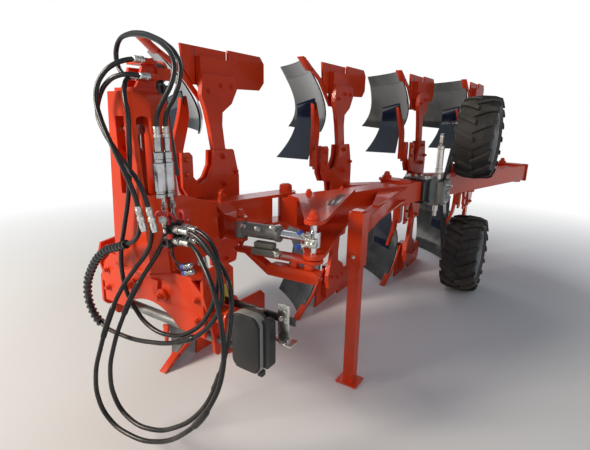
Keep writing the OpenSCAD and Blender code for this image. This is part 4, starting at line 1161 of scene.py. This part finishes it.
knob = moved(turned(KNOB), placing((236, -140, 1008), (-0.1, -0.5, 0.86), 0.95))
finish_piece(knob, "coupler_knob", "headstock", knob_white)
removed(collar_model)
print("coupler rack dressed")

# %% Parked couplers
PARKED = [(330, -134, 838), (334, -130, 808)]
PARKED_WAY = Vector((0.95, 0.1, 0.28))
parked = many(ferrule_model, [(place, PARKED_WAY, 0.9) for place in PARKED])
finish_piece(joined(parked), "parked_couplers", "headstock", valve_steel)
blue_caps = many(cap_model, [(place, -PARKED_WAY) for place in PARKED])
finish_piece(joined(blue_caps), "coupler_caps", "headstock", cap_blue)
straps = [bent_rod([(240, -134, 908), (262, -142, 880), (300, -142, 850), (338, -134, 840)], 4),
          bent_rod([(242, -120, 908), (270, -134, 860), (300, -138, 820), (342, -130, 810)], 4)]
finish_piece(joined(straps), "coupler_straps", "headstock", hose_rubber)
removed(ferrule_model, cap_model)
print(len(PARKED), "couplers parked")

# %% Check valves
VALVE = [(20, 1108), (24, 1110), (24, 1126), (20, 1128), (20, 1136), (25, 1138), (25, 1256), (20, 1260),
         (20, 1272), (22, 1274), (22, 1300), (16, 1304), (14.5, 1305), (14.5, 1360)]
PIPE_NUT = [(9, 0), (15, 2), (15, 20), (11, 22), (11, 34), (9.2, 36)]
VALVE_X, PIPE_X = 179, 194
valve_models = [turned(VALVE, sides=10), turned([(9, 1000), (9, 1126)], sides=20), turned(PIPE_NUT, sides=6)]
valves = [block((166, -130, 1150), (190, -40, 1240), 5)]
for y in (-108, -62):
    valve, pipe, nut = valve_models
    valves += [set_at(valve, (VALVE_X, y, 0)), set_at(pipe, (PIPE_X, y, 0))]
    valves += [set_at(nut, (PIPE_X, y, z)) for z in (1004, 1058)]
check_valves = finish_piece(joined(valves), "check_valves", "headstock", valve_steel)
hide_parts("valve_block")
removed(*valve_models)
print("check valves made")

# %% Headstock trim
back = front_plate([[-110, 1090], [110, 1090], [92, 1480], [-92, 1480]], -4, 5, 0.5)
finish_piece(back, "tower_back", "headstock", paint_red)
trim = [front_plate([[22, 424], [62, 424], [44, 330], [38, 324], [30, 330]], -14, 14, 2)]
trim += [ring_of((x, -112, 1390 - 79 * k), X_OUT, 21, 4) for k in (1, 2, 3) for x in (46, -46)]
finish_piece(joined(trim), "headstock_trim", "headstock", paint_red)
PIN_X = 470.5
pins = []
for x in (-PIN_X, PIN_X):
    pins.append(ring_of((x, -16, 486), (0, 0.4, 1), 18, 2.5))
    pins.append(bent_rod([(x, 0, 480), (x, 0, 492), (x, -10, 497)], 5))
finish_piece(joined(pins), "linch_pins", "headstock", zinc)
stock_bolts = bolts(Y_OUT, [(x, -93.4, 630, 1.2) for x in (110, -110)])
stock_bolts += bolts(Y_OUT, [(x, -75.3, z, 1.0) for x in (330, -330) for z in (660, 560)])
stock_bolts += bolts(X_OUT, [(383, -40, 720, 1.0), (383, 60, 760, 1.0), (383, -40, 640, 1.0)])
stock_bolts += many(hex_model, [((s * 458.7, 0, 580), (s, 0, 0)) for s in (-1, 1)])
finish_piece(joined(stock_bolts), "headstock_bolts", "headstock", paint_red)
print("headstock trim made")

# %% Lamp and its bracket
LAMP_FACE = [[528, 444], [544, 404], [648, 404], [666, 444], [666, 616], [640, 656], [550, 656], [524, 620]]
RIM_CORNERS = [((628.5, 618.5), 0), ((561.5, 618.5), 90), ((561.5, 441.5), 180), ((628.5, 441.5), 270)]
finish_piece(front_plate(LAMP_FACE, -64, 4, 2), "lamp_lens", "headstock", lamp_plastic)
rim_outline = [p for centre, start in RIM_CORNERS for p in arc(centre, 44, start, start + 90, 6)]
finish_piece(front_plate(rim_outline, -22, 40, 1.5), "lamp_rim", "headstock", lamp_rim_grey)
finish_piece(block((638, -42, 376), (664, -14, 402), 4), "lamp_plug", "headstock", lamp_plastic)
sheets = [plate(rectangle(0, 0, 58, 148), (688, 45, 552), (1, 0, 0), (0, 0, 1), 8, 2.5),
          flat_plate([[688, 45], [790, 45], [790, -14], [750, -14], [688, 8]], 544, 8, 2.5)]
bracket = finish_piece(joined(sheets), "lamp_bracket_sheet", "headstock", zinc)
# The bar is plated like its sheet; its black finish is a painted shade behind the lamp.
bars = [block((382.8, 45, 610), (770, 53, 646), 1.5), block((560, -1.5, 612), (620, 45, 642), 3)]
bar = finish_piece(joined(bars), "lamp_bar", "headstock", black_paint)
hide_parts("lamp_bracket")
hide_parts("lamp_bracket")
lamp_bolts = bolts(Y_OUT, [(x, 37, z, 0.6) for x, z in ((704, 680), (730, 672), (704, 630), (730, 626))])
lamp_bolts += bolts(DOWN_Z, [(760, 10, 544, 0.6)]) + bolts(UP_Z, [(760, 10, 552, 0.5)])
finish_piece(joined(lamp_bolts), "lamp_bolts", "headstock", zinc)
print("lamp dressed")

# %% Parking stand
finish_piece(joined(bolts(Y_OUT, [(770, 599.8, 756, 0.5)])), "stand_bolts", "beam", zinc)
removed(hex_model, square_model)
print("stand dressed")

# %% Print the sizes
print("visual box, m:", plain_box())
